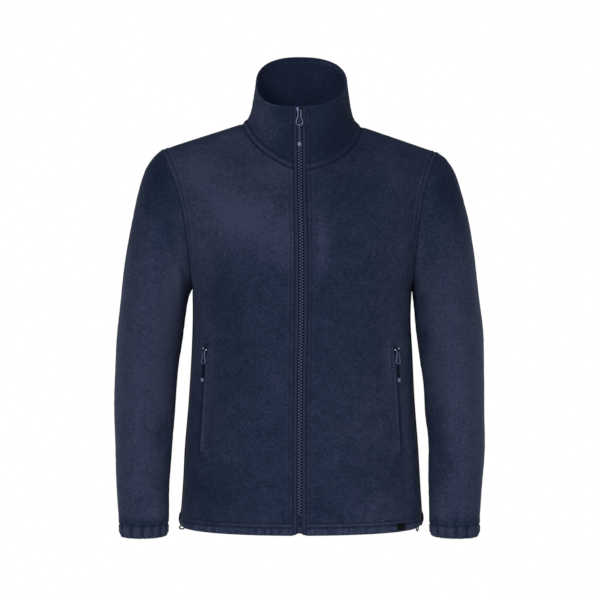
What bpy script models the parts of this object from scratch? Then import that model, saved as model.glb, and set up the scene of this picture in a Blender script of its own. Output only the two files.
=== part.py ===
"""A fleece jacket with a stand-up collar, a full-length zip and two zipped pockets.

The jacket keeps its worn form with nobody in it: each piece is a cloth wall around a hollow, and
neck, hem, cuffs and armholes are open. The origin is the nape, on the neck seam at the centre
back. +Z is up, the front faces -Y and the wearer's left is at +X. Lengths in this file are
millimetres; solid() and its helpers turn them into metres.
"""

import math

import bmesh
import bpy
import numpy as np
from mathutils import Vector
from mathutils.bvhtree import BVHTree

MM = 0.001
PI = math.pi


def table(columns, *rows):
    """Sizes as one array for each named column."""
    return {name: np.array(values, float) for name, values in zip(columns.split(), zip(*rows))}


# ------------------------------------------------------------------------------ driving sizes
FLEECE = 2.4  # one layer of fleece with its nap
COLLAR_LAYERS = 4.4  # the collar is doubled over at its top edge
COLLAR_TOP = 2.4  # what is left of that at the rounded top edge
HEM_LAYERS = 4.2  # the hem is turned up once
CUFF_LAYERS = 3.4  # the casing and the elastic in it
SEAM_GAP = 0.3  # between pieces that are sewn together
HEM_HEIGHT = -711.5
HEM_TURN = 22.0  # how far up the hem is turned
ZIP_REACH = 11.5  # from the zip's middle to each front's folded edge
RING_POWER = 2.35  # the body's rings are superellipses of this power

# The neck seam: its front point, and on each side where it meets the shoulder.
NECK_FRONT_HEIGHT = -101.0
NECK_WALL_RISE = 0.87  # how much more steeply the form rises inside the neck seam
NECK_WALL_ROUND = 40.0  # the reach over which it takes that slope
SHOULDER_ROLL = {"front": 160.0, "back": 120.0}  # height over which a shoulder rounds off

SIDES = {
    "right": {
        "sign": -1, "neck_reach": 99.0, "neck_height": -13.0, "neck_power": 1.5,
        "shoulder_reach": 242.0, "shoulder_height": -60.5,
        "armpit_reach": 184.0, "armpit_height": -299.0, "inset": 18.0, "inset_skew": 0.75,
        "mouth_reach": 76.0, "mouth_power": 2.8,
    },
    "left": {
        "sign": 1, "neck_reach": 107.0, "neck_height": -18.5, "neck_power": 1.9,
        "shoulder_reach": 243.0, "shoulder_height": -65.0,
        "armpit_reach": 193.0, "armpit_height": -299.0, "inset": 16.0, "inset_skew": 0.65,
        "mouth_reach": 83.0, "mouth_power": 2.2,
    },
}
ARMHOLE_DEPTH = 70.0  # half of the armhole's size from front to back
BACK_INSET = 0.5  # the armhole curves in half as far at the back

# Half widths of the body below the armpits.
WIDTHS = table(
    "height right left",
    (-711.5, 203, 208),
    (-703, 206, 211.5),
    (-690, 204.5, 211),
    (-640, 200.5, 208),
    (-580, 197.5, 204.5),
    (-494, 190.5, 198),
    (-410, 185.5, 194),
    (-350, 183.5, 191),
    (-299, 184, 193),
)
# How far the body reaches forward and back: at the centre front, beside the neck, and behind.
DEPTHS = table(
    "height front chest back",
    (-711.5, 127, 127, 121),
    (-640, 126, 126, 117),
    (-580, 125, 125, 113),
    (-494, 126, 126, 110),
    (-410, 130, 130, 113),
    (-350, 134, 134, 121),
    (-299, 136, 136, 127),
    (-250, 136, 136, 131),
    (-200, 132, 135, 133),
    (-150, 116, 131, 131),
    (-101, 87, 126, 125),
    (-60, 64, 121, 114),
    (-20, 42, 116, 98),
    (0, 34, 114, 82),
)
CHEST_STARTS = 60.0  # where the depth beside the neck takes over from the centre's
CHEST_FULL = 200.0

# The collar's mouth: a tilted ring, higher behind.
MOUTH_HEIGHT = 60.0
MOUTH_FORWARD = -5.0
MOUTH_DEPTH = 74.0
MOUTH_RISE = 53.0
MOUTH_BACK_POWER = 2.4
COLLAR_FLARE = {"slow_share": 0.55, "slow": 1.5, "fast": 8.0}

# Each sleeve's rings: the outer and the inner end of each ring seen from the front, half its
# size from front to back, and its middle's place from front to back.
SLEEVES = {
    "right": table(
        "outer_reach outer_height inner_reach inner_height depth forward",
        (242, -60.5, 184, -299, 70, 0),
        (258, -76, 186.5, -302, 71, 0),
        (272, -104, 189, -307, 72, 0),
        (286, -160, 192.5, -316, 73, -1),
        (298.5, -224, 196, -331, 73, -2),
        (307, -285, 200, -358, 72, -4),
        (313, -348, 204.5, -397, 70, -6),
        (317.5, -398, 209, -428, 67, -9),
        (319.5, -450, 213, -466, 64, -12),
        (319.5, -511, 216, -517, 60, -16),
        (318.5, -564, 220, -565, 56, -20),
        (316, -624, 223.5, -624, 51, -24),
        (313.5, -677, 224.5, -676, 46, -27),
        (311, -705, 225.5, -704.5, 43, -28),
    ),
    "left": table(
        "outer_reach outer_height inner_reach inner_height depth forward",
        (243, -65, 193, -299, 70, 0),
        (257, -78, 195, -303, 71, 0),
        (274, -107, 196, -310, 72, 0),
        (288, -160, 197.5, -322, 73, -1),
        (301, -223, 199, -341, 73, -2),
        (309, -285, 201, -368, 72, -4),
        (315, -348, 206, -400, 70, -6),
        (318, -398, 211, -430, 67, -9),
        (319.5, -450, 215, -466, 64, -12),
        (319.5, -511, 217, -517, 60, -16),
        (318.5, -564, 222, -565, 56, -20),
        (316, -624, 223.5, -624, 51, -24),
        (312.5, -677, 223.5, -676, 46, -27),
        (310.5, -705, 223.5, -704.5, 43, -28),
    ),
}
# The elasticated casing below each sleeve's end.
CUFF = table(
    "drop width depth gather",
    (0, 1.0, 1.0, 0.0),
    (7, 0.985, 0.98, 0.9),
    (15, 0.965, 0.95, 1.3),
    (21.5, 0.90, 0.87, 0.7),
)
GATHERS = 14  # around each cuff

# Steps of the grids.
HEM_ROWS = (-711.5, -705.5, -697.5, -689.0)  # heights of the rows in the turned-up hem
BODY_ROWS = 10  # from the hem's top to the armpits
ARMHOLE_ROWS = 12  # from the armpits to the top
NECK_COLUMNS = 6  # from the zip or the centre back to the shoulder's neck point
SHOULDER_COLUMNS = 6  # along a shoulder
SLEEVE_ROWS = 18
COLLAR_ROWS = 5
COLUMNS_A_GATHER = 4

# The zip.
TAPE_THICKNESS = 0.9
TAPE_DEPTH = 0.8  # from the cloth's face to the tape's
TAPE_FOOT = 5.5  # the tape ends above the hem's edge by this
BOX = {"reach": (-2.55, 4.95), "foot": 0.6, "height": 9.0, "thickness": 2.4}
PIN = {"reach": (-1.9, -0.3), "height": 21.0, "thickness": 1.7}
ZIP_SLIDER_STAND = 0.5  # from the fronts' faces out to the back of the slider's plate
ZIP_SLIDER_HEIGHT = 0.5  # the middle of the closed zip's slider

# The pockets: the slit's upper and lower end on each front.
POCKETS = {
    "right": {"top": (156.0, -397.0), "bottom": (168.0, -579.0)},
    "left": {"top": (160.5, -397.0), "bottom": (170.5, -579.0)},
}
WELT_WIDTH = 7.0
WELT_THICKNESS = 1.5
COIL_WIDTH = 3.6
COIL_THICKNESS = 1.1
POCKET_SLIDER_SHARE = 0.045  # how far down the slit the slider's middle is
POCKET_SLIDER_STAND = 1.7  # from the welt's face to the back of the slider's plate
POCKET_ROWS = 9
DROP_FROM = 20.0  # trim is dropped onto its panel from this far out

# A slider and its pull; width and length scale the pockets' smaller ones.
SLIDER = {
    "top": 10.6, "bottom": 6.6, "length": 13.5, "thickness": 1.5, "flange": 1.0,
    "shoulder": 3.0, "shoulder_share": 0.72,
}
CROWN = {"width": 2.6, "wall": 1.1, "eye": 1.5, "root": 0.5}
CROWN_CLEARANCE = 0.35  # between the crown and the pull's legs
PULL_BAR = 1.5
PULL_THICKNESS = 1.7
PULL_OUTLINE = table(
    "drop reach",
    (0, 3.25),
    (6, 3.1),
    (11, 3.2),
    (15, 4.9),
    (19, 6.3),
    (22.5, 6.2),
    (25.5, 3.6),
)
PULL_CORD = {"width": 3.8, "length": 27.0, "thickness": 2.0}
PULL_END = {"width": 6.2, "length": 7.4, "thickness": 3.4, "corner": 1.2}
POCKET_PULL_SCALE = 0.86
POCKET_PULL_BEND = 0.9  # how far a pocket's pull cord bows towards the zip

# The bare tab at the hem and the drawcord's loops.
LABEL = {
    "side": "left", "reach": (158.5, 178.5), "columns": 8, "thickness": 1.1, "stand": 0.45,
    "heights": (-708.5, -705.5, -701.5, -697.5, -693.0),
}
HEM_LOOPS = {
    "right": {"reach": 202.0, "half_width": 4.4, "half_height": 1.9, "turned": 0.0},
    "left": {"reach": 206.5, "half_width": 1.7, "half_height": 4.2, "turned": 65.0},
}
HEM_CORD = 2.0  # the drawcord's diameter
HEM_CORD_STEPS = 14  # around each loop

MATERIALS = {
    "fleece_navy": {"hex": "2B3149", "roughness": 0.95, "metallic": 0.0},
    "zip_tape_navy": {"hex": "333A54", "roughness": 0.8, "metallic": 0.0},
    "slider_grey": {"hex": "5F6680", "roughness": 0.38, "metallic": 0.8},
    "cord_dark": {"hex": "1A2036", "roughness": 0.7, "metallic": 0.0},
    "cord_grey": {"hex": "4A5170", "roughness": 0.7, "metallic": 0.0},
    "pull_end_grey": {"hex": "8D95AD", "roughness": 0.5, "metallic": 0.0},
    "label_black": {"hex": "101115", "roughness": 0.7, "metallic": 0.0},
}


# -------------------------------------------------------------------------------- small maths
def curve(at, knots, values):
    """Cubic through the knots: v0 h00 + d m0 h10 + v1 h01 + d m1 h11, slopes from neighbours."""
    slopes = np.gradient(values, knots)
    low = np.clip(np.searchsorted(knots, at, side="right") - 1, 0, len(knots) - 2)
    step = knots[low + 1] - knots[low]
    t = np.clip((at - knots[low]) / step, 0.0, 1.0)
    start = (1 + 2 * t) * (1 - t) ** 2 * values[low] + t * (1 - t) ** 2 * step * slopes[low]
    end = t * t * (3 - 2 * t) * values[low + 1] + t * t * (t - 1) * step * slopes[low + 1]
    return start + end


def smooth_step(x, low, high):
    """0 below low, 1 above high, 3t^2 - 2t^3 between."""
    t = np.clip((x - low) / (high - low), 0.0, 1.0)
    return t * t * (3 - 2 * t)


def unit(v):
    """Vectors at length 1."""
    return v / np.maximum(np.linalg.norm(v, axis=-1, keepdims=True), 1e-12)


def rounded(share, power):
    """The other coordinate of a unit superellipse: (1 - share^p)^(1/p)."""
    return (1 - np.clip(share, 0.0, 1.0) ** power) ** (1 / power)


# ------------------------------------------------------------------------- the form of the body
def shoulder_slope(side):
    """How much a shoulder falls for each millimetre outwards."""
    s = SIDES[side]
    return (s["neck_height"] - s["shoulder_height"]) / (s["shoulder_reach"] - s["neck_reach"])


def ridge(side, reach):
    """Height of the shoulder's ridge, and inside the neck seam of the wall that rises there."""
    s = SIDES[side]
    inwards = s["neck_reach"] - reach
    line = s["neck_height"] + shoulder_slope(side) * inwards
    start = np.clip(inwards, 0.0, NECK_WALL_ROUND)
    beyond = np.maximum(inwards - NECK_WALL_ROUND, 0.0)
    return line + NECK_WALL_RISE * (start**2 / (2 * NECK_WALL_ROUND) + beyond)


def top_height(side, face, reach):
    """Height at which a column of the front or back ends: the neck seam or the shoulder."""
    s = SIDES[side]
    share = np.clip(reach / s["neck_reach"], 0.0, 1.0)
    drop = (NECK_FRONT_HEIGHT - s["neck_height"]) * rounded(share, s["neck_power"])
    neck = s["neck_height"] + drop if face == "front" else s["neck_height"] * share**2
    return np.where(reach > s["neck_reach"], ridge(side, reach), neck)


def depth(side, face, reach, height):
    """How far the middle of the ring through a point lies from the side seams' plane."""
    if face == "back":
        full = curve(height, DEPTHS["height"], DEPTHS["back"])
    else:
        centre = curve(height, DEPTHS["height"], DEPTHS["front"])
        chest = curve(height, DEPTHS["height"], DEPTHS["chest"])
        full = centre + (chest - centre) * smooth_step(reach, CHEST_STARTS, CHEST_FULL)
    below = np.clip((ridge(side, reach) - height) / SHOULDER_ROLL[face], 0.0, 1.0)
    return full * np.sqrt(1 - (1 - below) ** 2)


def armhole(side, turn):
    """The armhole seam as (reach, y, height); turn runs from the shoulder's top forward."""
    s = SIDES[side]
    down = (1 - np.cos(turn)) / 2
    inset = s["inset"] * np.sin(PI * down ** s["inset_skew"])
    inset = inset * np.where(np.sin(turn) < 0, BACK_INSET, 1.0)
    reach = s["shoulder_reach"] + (s["armpit_reach"] - s["shoulder_reach"]) * down - inset
    height = s["shoulder_height"] + (s["armpit_height"] - s["shoulder_height"]) * down
    return reach, -ARMHOLE_DEPTH * np.sin(turn), height


def ring(side, face, height):
    """Half width of the body's ring at a height, and the angle at which the cloth ends on it."""
    s = SIDES[side]
    width = curve(height, WIDTHS["height"], WIDTHS[side])
    top = s["shoulder_height"] - 0.4
    down = (s["shoulder_height"] - np.minimum(height, top)) / (
        s["shoulder_height"] - s["armpit_height"]
    )
    turn = np.arccos(1 - 2 * np.clip(down, 0.0, 1.0))
    reach, y, level = armhole(side, turn if face == "front" else 2 * PI - turn)
    share = np.clip(np.abs(y) / np.maximum(depth(side, face, reach, level), 1.0), 0.0, 0.97)
    lean = rounded(share, RING_POWER)
    above = height > s["armpit_height"]
    end = np.where(above, np.arcsin(lean ** (RING_POWER / 2)), PI / 2)
    return np.where(above, reach / lean, width), end


def body(side, face, share, height):
    """Outer surface: share runs from the zip's edge or the centre back to the side or armhole."""
    width, end = ring(side, face, height)
    inner = ZIP_REACH if face == "front" else 0.0
    start = np.arcsin((inner / width) ** (RING_POWER / 2))
    angle = start + (end - start) * share
    reach = width * np.sin(angle) ** (2 / RING_POWER)
    out = depth(side, face, reach, height) * np.maximum(np.cos(angle), 0.0) ** (2 / RING_POWER)
    y = -out if face == "front" else out
    return np.stack([SIDES[side]["sign"] * reach, y, height + 0 * reach], axis=-1)


def front_at(side, reach, height):
    """Outer surface of a front at a reach from the middle and a height."""
    width, _ = ring(side, "front", height)
    y = -depth(side, "front", reach, height) * rounded(reach / width, RING_POWER)
    return np.stack([SIDES[side]["sign"] * reach, y, height + 0 * reach], axis=-1)


def columns(side, face):
    """Shares and end heights of the columns, which end along the neck seam and the shoulder."""
    s = SIDES[side]
    inner = ZIP_REACH if face == "front" else 0.0
    around = np.sin(PI / 2 * np.arange(NECK_COLUMNS + 1) / NECK_COLUMNS)
    neck = inner + (s["neck_reach"] - inner) * around
    out = np.arange(1, SHOULDER_COLUMNS + 1) / SHOULDER_COLUMNS
    shoulder = s["neck_reach"] + (s["shoulder_reach"] - s["neck_reach"]) * out
    reach = np.concatenate([neck, shoulder])
    top = top_height(side, face, reach)
    width, end = ring(side, face, top)
    start = np.arcsin((inner / width) ** (RING_POWER / 2))
    angle = np.arcsin(np.minimum(reach / width, 1.0) ** (RING_POWER / 2))
    share = (angle - start) / (end - start)
    share[-1] = 1.0
    return share, top


def half_body(side, face):
    """Grid of a front, or of half of the back: rows from the hem up, columns outwards."""
    armpit = SIDES[side]["armpit_height"]
    share, top = columns(side, face)
    low = np.concatenate([HEM_ROWS[:-1], np.linspace(HEM_ROWS[-1], armpit, BODY_ROWS + 1)[:-1]])
    rise = (1 - np.cos(PI * np.arange(ARMHOLE_ROWS + 1) / ARMHOLE_ROWS)) / 2
    heights = np.concatenate(
        [np.repeat(low[:, None], len(share), 1), armpit + rise[:, None] * (top - armpit)]
    )
    points = body(side, face, np.broadcast_to(share, heights.shape), heights)
    turn = PI * (1 - np.arange(ARMHOLE_ROWS + 1) / ARMHOLE_ROWS)
    reach, y, level = armhole(side, turn if face == "front" else 2 * PI - turn)
    points[len(low) :, -1] = np.stack([SIDES[side]["sign"] * reach, y, level], axis=-1)
    points[-1, NECK_COLUMNS:, 1] = 0.0
    return points


def sleeve_grid(side):
    """Grid of a sleeve: rows from the armhole down, columns around from the top forwards."""
    rings = SLEEVES[side]
    s = SIDES[side]
    knots = np.arange(len(rings["depth"]), dtype=float)
    at = knots[-1] * (np.arange(SLEEVE_ROWS + 1) / SLEEVE_ROWS)[:, None]
    turn = (2 * PI * np.arange(2 * ARMHOLE_ROWS) / (2 * ARMHOLE_ROWS))[None]
    size = {name: curve(at, knots, values) for name, values in rings.items()}
    down = (1 - np.cos(turn)) / 2
    inset = s["inset"] * np.sin(PI * down ** s["inset_skew"])
    inset = inset * np.where(np.sin(turn) < 0, BACK_INSET, 1.0) * (1 - smooth_step(at, 0.0, 3.5))
    reach = size["outer_reach"] + (size["inner_reach"] - size["outer_reach"]) * down - inset
    height = size["outer_height"] + (size["inner_height"] - size["outer_height"]) * down
    y = size["forward"] - size["depth"] * np.sin(turn)
    return np.stack([s["sign"] * reach, y, height], axis=-1)


def cuff_grid(side):
    """Grid of a casing: the sleeve's last ring carried down, drawn in and gathered."""
    rings = SLEEVES[side]
    outer, inner = rings["outer_reach"][-1], rings["inner_reach"][-1]
    turn = (2 * PI * np.arange(GATHERS * COLUMNS_A_GATHER) / (GATHERS * COLUMNS_A_GATHER))[None]
    drop, width, deep, gather = (
        CUFF[name][:, None] for name in ("drop", "width", "depth", "gather")
    )
    wave = gather * np.cos(GATHERS * turn + 0.6 * np.sin(3 * turn))
    reach = (outer + inner) / 2 + ((outer - inner) / 2 * width + wave) * np.cos(turn)
    y = rings["forward"][-1] - (rings["depth"][-1] * deep + wave) * np.sin(turn)
    down = (1 - np.cos(turn)) / 2
    height = rings["outer_height"][-1] + 0.5 * down - SEAM_GAP / 2 - drop
    return np.stack([SIDES[side]["sign"] * reach, y, height], axis=-1)


def flare(up):
    """How much of the way from the mouth out to the neck seam a height of the collar stands."""
    f = COLLAR_FLARE
    return f["slow_share"] * (1 - up) ** f["slow"] + (1 - f["slow_share"]) * (1 - up) ** f["fast"]


def mouth(side, face, base):
    """The collar's top edge above points of the neck seam."""
    s = SIDES[side]
    inner = ZIP_REACH if face == "front" else 0.0
    power = s["mouth_power"] if face == "front" else MOUTH_BACK_POWER
    share = (np.abs(base[..., 0]) - inner) / (s["neck_reach"] - inner)
    reach = inner + (s["mouth_reach"] - inner) * share
    out = MOUTH_DEPTH * rounded(reach / s["mouth_reach"], power)
    back = -out if face == "front" else out
    height = MOUTH_HEIGHT + MOUTH_RISE * back / MOUTH_DEPTH
    return np.stack([s["sign"] * reach, MOUTH_FORWARD + back, height], axis=-1)


def collar_grid(halves):
    """Grid of the collar: rows up, columns from the right zip edge round the back to the left."""
    bases, tops = [], []
    for side, face in (("right", "front"), ("right", "back"), ("left", "back"), ("left", "front")):
        base = halves[side, face][-1, : NECK_COLUMNS + 1]
        top = mouth(side, face, base)
        if (side, face) in (("right", "back"), ("left", "front")):
            base, top = base[::-1], top[::-1]
        bases.append(base if not bases else base[1:])
        tops.append(top if not tops else top[1:])
    base, top = np.concatenate(bases), np.concatenate(tops)
    up = (np.arange(COLLAR_ROWS + 1) / COLLAR_ROWS)[:, None, None]
    points = top + (base - top) * flare(up)
    points[..., 2] = base[:, 2] + (top[:, 2] - base[:, 2]) * up[..., 0]
    return points


# --------------------------------------------------------------------------- grids into solids
def normals(points, around, outward):
    """Unit normals of a grid, along its columns times across them, turned to the outward side."""
    padded = np.concatenate([points[:, -1:], points, points[:, :1]], 1) if around else points
    across = np.gradient(padded, axis=1)
    across = across[:, 1:-1] if around else across
    return unit(np.cross(across, np.gradient(points, axis=0))) * outward


def edge_pull(points, normal, around):
    """For each boundary point, the unit direction in the cloth away from the piece's edges."""
    pull = np.zeros_like(points)
    edges = [(np.s_[0], 1), (np.s_[-1], -1)]
    for row, _ in edges:
        line = points[row]
        along = np.gradient(np.concatenate([line[-1:], line, line[:1]]), axis=0)[1:-1]
        along = along if around else np.gradient(line, axis=0)
        inward = points[1 if row == 0 else -2] - line
        side = unit(np.cross(normal[row], along))
        pull[row] += side * np.sign((side * inward).sum(-1, keepdims=True))
    if not around:
        for column, _ in edges:
            line = points[:, column]
            along = np.gradient(line, axis=0)
            inward = points[:, 1 if column == 0 else -2] - line
            side = unit(np.cross(normal[:, column], along))
            pull[:, column] += side * np.sign((side * inward).sum(-1, keepdims=True))
    return pull


def share_seam_normals(pieces, near=0.02):
    """Where pieces meet at a seam point, all take one normal: the mean over body, sleeve, collar."""
    spots, owners = [], []
    for piece in pieces:
        rows, columns = piece["points"].shape[:2]
        for i in range(rows):
            for j in range(columns):
                if i in (0, rows - 1) or (not piece["around"] and j in (0, columns - 1)):
                    spots.append(piece["points"][i, j])
                    owners.append((piece, i, j))
    spots = np.array(spots)
    means = []
    for spot in spots:
        families = {}
        for k in np.flatnonzero(np.linalg.norm(spots - spot, axis=1) < near):
            owner, i, j = owners[k]
            families.setdefault(owner["family"], []).append(owner["normal"][i, j])
        means.append(sum(unit(np.mean(found, axis=0)) for found in families.values()))
    for (piece, i, j), mean in zip(owners, means):
        piece["seam"][i, j] = unit(mean)


def level_seam(made, row):
    """Turns a row's seam normals level, so that the rims on both sides of a cuff's seam match."""
    made["seam"][row] = unit(made["seam"][row] * (1.0, 1.0, 0.0))


def material(name):
    """A Principled material of the name's colour."""
    made = bpy.data.materials.get(name)
    if made is None:
        look = MATERIALS[name]
        made = bpy.data.materials.new(name)
        made.use_nodes = True
        surface = made.node_tree.nodes["Principled BSDF"]
        srgb = [int(look["hex"][k : k + 2], 16) / 255 for k in (0, 2, 4)]
        linear = [c / 12.92 if c <= 0.04045 else ((c + 0.055) / 1.055) ** 2.4 for c in srgb]
        surface.inputs["Base Color"].default_value = (*linear, 1.0)
        surface.inputs["Roughness"].default_value = look["roughness"]
        surface.inputs["Metallic"].default_value = look["metallic"]
    return made


def solid(name, points, faces, slot, origin=(0.0, 0.0, 0.0)):
    """One named object of triangles from points in millimetres, its faces turned outwards."""
    shift = np.array(origin, float)
    mesh = bpy.data.meshes.new(name)
    mesh.from_pydata(((np.asarray(points, float) - shift) * MM).tolist(), [], faces)
    shape = bmesh.new()
    shape.from_mesh(mesh)
    bmesh.ops.recalc_face_normals(shape, faces=shape.faces)
    bmesh.ops.triangulate(shape, faces=shape.faces, quad_method="SHORT_EDGE")
    shape.to_mesh(mesh)
    shape.free()
    mesh.materials.append(material(slot))
    mesh.shade_smooth()
    mesh.set_sharp_from_angle(angle=math.radians(40))
    made = bpy.data.objects.new(name, mesh)
    made.location = Vector(shift * MM)
    bpy.context.scene.collection.objects.link(made)
    return made


def wall(name, outer, inner, slot, around=False):
    """A closed wall between an outer and an inner grid."""
    rows, columns = outer.shape[:2]
    number = np.arange(rows * columns).reshape(rows, columns)
    if around:
        number = np.concatenate([number, number[:, :1]], axis=1)
    corners = np.stack([number[:-1, :-1], number[:-1, 1:], number[1:, 1:], number[1:, :-1]], -1)
    outside = corners.reshape(-1, 4)
    inside = outside[:, ::-1] + rows * columns
    loops = [number[0], number[-1][::-1]]
    if not around:
        loops += [number[::-1, 0], number[:, -1]]
    rim = [
        [a, a + rows * columns, b + rows * columns, b]
        for loop in loops
        for a, b in zip(loop[:-1], loop[1:])
    ]
    faces = outside.tolist() + inside.tolist() + [[int(v) for v in face] for face in rim]
    points = np.concatenate([outer.reshape(-1, 3), inner.reshape(-1, 3)])
    return solid(name, points, faces, slot)


def piece(name, points, thickness, outward, around=False):
    """A cloth piece before its seams are shared: its grid, normals and layers."""
    normal = normals(points, around, outward)
    layers = np.broadcast_to(thickness, points.shape[:2])
    return {
        "name": name, "points": points, "normal": normal, "seam": normal.copy(),
        "layers": layers, "around": around,
        "family": "body" if name.split("_")[0] in ("front", "back") else name.split("_")[0],
    }


def cloth(made, slot="fleece_navy"):
    """The wall of a cloth piece, drawn back by half the seam gap along its edges."""
    pull = SEAM_GAP / 2 * edge_pull(made["points"], made["normal"], made["around"])
    outer = made["points"] + pull
    inner = outer - made["seam"] * made["layers"][..., None]
    return wall(made["name"], outer, inner, slot, made["around"])


# ----------------------------------------------------------------------------- the cloth pieces
def hem_layers(points):
    """Thickness of a front or of the back: thicker where the hem is turned up."""
    above = smooth_step(points[..., 2], HEM_HEIGHT + HEM_TURN, HEM_HEIGHT + HEM_TURN + 8)
    return HEM_LAYERS + (FLEECE - HEM_LAYERS) * above


def collar_layers(rows, columns):
    """Thickness of the collar: pressed flat at the neck seam, full above, rounded at its top."""
    layers = np.full((rows, columns), COLLAR_LAYERS)
    layers[0] = FLEECE
    layers[-1] = COLLAR_TOP
    return layers


def build_cloth():
    """Fronts, back, sleeves, cuffs and collar; returns the halves' grids for the trim."""
    halves = {(s, f): half_body(s, f) for s in SIDES for f in ("front", "back")}
    whole_back = np.concatenate(
        [halves["right", "back"][:, ::-1], halves["left", "back"][:, 1:]], axis=1
    )
    collar = collar_grid(halves)
    pieces = [
        piece("back", whole_back, hem_layers(whole_back), -1),
        piece("collar", collar, collar_layers(*collar.shape[:2]), -1),
    ]
    for side, s in SIDES.items():
        front = halves[side, "front"]
        pieces.append(piece(f"front_{side}", front, hem_layers(front), s["sign"]))
        pieces.append(piece(f"sleeve_{side}", sleeve_grid(side), FLEECE, s["sign"], around=True))
    share_seam_normals(pieces)
    for side, s in SIDES.items():
        cuff = piece(f"cuff_{side}", cuff_grid(side), CUFF_LAYERS, s["sign"], around=True)
        level_seam(cuff, 0)
        pieces.append(cuff)
    for made in pieces:
        if made["family"] == "sleeve":
            level_seam(made, -1)
        cloth(made)
    return halves, collar


# ------------------------------------------------------------------------------ hard small parts
def frame(at, axis, up):
    """Axes of a small part: x along axis, z up, y into the garment, at a point."""
    x = unit(np.array(axis, float))
    z = np.array(up, float)
    z = unit(z - x * (z @ x))
    return np.array(at, float), np.stack([x, np.cross(z, x), z])


def placed(points, place):
    """Points of a part's own frame in the jacket's."""
    at, axes = place
    return at + np.asarray(points, float) @ axes


def rectangle(reach, height):
    """Corners of an upright rectangle between two reaches and two heights."""
    (left, right), (foot, top) = reach, height
    return [(left, foot), (right, foot), (right, top), (left, top)]


def prism(name, outline, front, back, place, slot, origin=(0.0, 0.0, 0.0)):
    """A plate of an outline in x and z, from y = front to y = back."""
    count = len(outline)
    points = [(x, front, z) for x, z in outline] + [(x, back, z) for x, z in outline]
    faces = [list(range(count)), list(range(count, 2 * count))[::-1]]
    faces += [[i, (i + 1) % count, count + (i + 1) % count, count + i] for i in range(count)]
    return solid(name, placed(points, place), faces, slot, origin)


def hoop(name, outer, inner, front, back, place, slot, origin):
    """A flat ring between two outlines of equal length, from y = front to y = back."""
    count = len(outer)
    points = [(x, y, z) for y in (front, back) for loop in (outer, inner) for x, z in loop]
    faces = []
    for i in range(count):
        j = (i + 1) % count
        faces += [
            [i, j, count + j, count + i],
            [2 * count + i, 3 * count + i, 3 * count + j, 2 * count + j],
            [i, 2 * count + i, 2 * count + j, j],
            [count + i, count + j, 3 * count + j, 3 * count + i],
        ]
    return solid(name, placed(points, place), faces, slot, origin)


def joined(name, first, other):
    """The union of two overlapping parts as one object."""
    union = first.modifiers.new("union", "BOOLEAN")
    union.operation = "UNION"
    union.object = other
    bpy.context.view_layer.update()
    evaluated = first.evaluated_get(bpy.context.evaluated_depsgraph_get())
    mesh = bpy.data.meshes.new_from_object(evaluated)
    first.modifiers.clear()
    first.data = mesh
    first.name = name
    bpy.data.objects.remove(other)
    return first


def slider_plate(name, place, scale):
    """The slider's tapered plate: a channel section swept from its foot to its shoulders."""
    half_length = SLIDER["length"] * scale / 2
    front, back, edge = -SLIDER["thickness"], 0.0, SLIDER["flange"]
    half_top = SLIDER["top"] * scale / 2
    sections = (
        (-half_length, SLIDER["bottom"] * scale / 2),
        (half_length - SLIDER["shoulder"] * scale, half_top),
        (half_length, half_top * SLIDER["shoulder_share"]),
    )
    points = []
    for z, half in sections:
        inside = half - SLIDER["flange"]
        points += [
            (-half, front, z), (half, front, z), (half, edge, z), (inside, edge, z),
            (inside, back, z), (-inside, back, z), (-inside, edge, z), (-half, edge, z),
        ]
    count = 8
    faces = [list(range(count)), list(range(2 * count, 3 * count))[::-1]]
    for low in (0, count):
        faces += [
            [low + i, low + (i + 1) % count, low + count + (i + 1) % count, low + count + i]
            for i in range(count)
        ]
    return solid(name, placed(points, place), faces, "slider_grey")


def slider_crown(name, place):
    """The arch on the plate that the pull hangs in; returns it and its axis's y."""
    plate_front, eye = -SLIDER["thickness"], CROWN["eye"]
    wall_out = eye + CROWN["wall"]
    axis_y = plate_front - eye
    root = plate_front + CROWN["root"]
    arc = np.linspace(0, PI, 9)
    outer = [(-wall_out, root)]
    outer += [(-wall_out * math.cos(a), axis_y - wall_out * math.sin(a)) for a in arc]
    outer += [(wall_out, root)]
    inner = [(-eye, root)]
    inner += [(-eye * math.cos(a), axis_y - eye * math.sin(a)) for a in arc]
    inner += [(eye, root)]
    outline = outer + inner[::-1]
    half = CROWN["width"] / 2
    points = [(x, y, z) for x in (-half, half) for z, y in outline]
    count = len(outline)
    faces = [list(range(count)), list(range(count, 2 * count))[::-1]]
    faces += [[i, (i + 1) % count, count + (i + 1) % count, count + i] for i in range(count)]
    return solid(name, placed(points, place), faces, "slider_grey"), axis_y


def slider(name, place, scale):
    """A zip's slider: its plate and the crown that holds the pull; returns the pull's axis."""
    crown, axis_y = slider_crown(f"{name}_crown", place)
    joined(name, slider_plate(name, place, scale), crown)
    return axis_y


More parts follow.
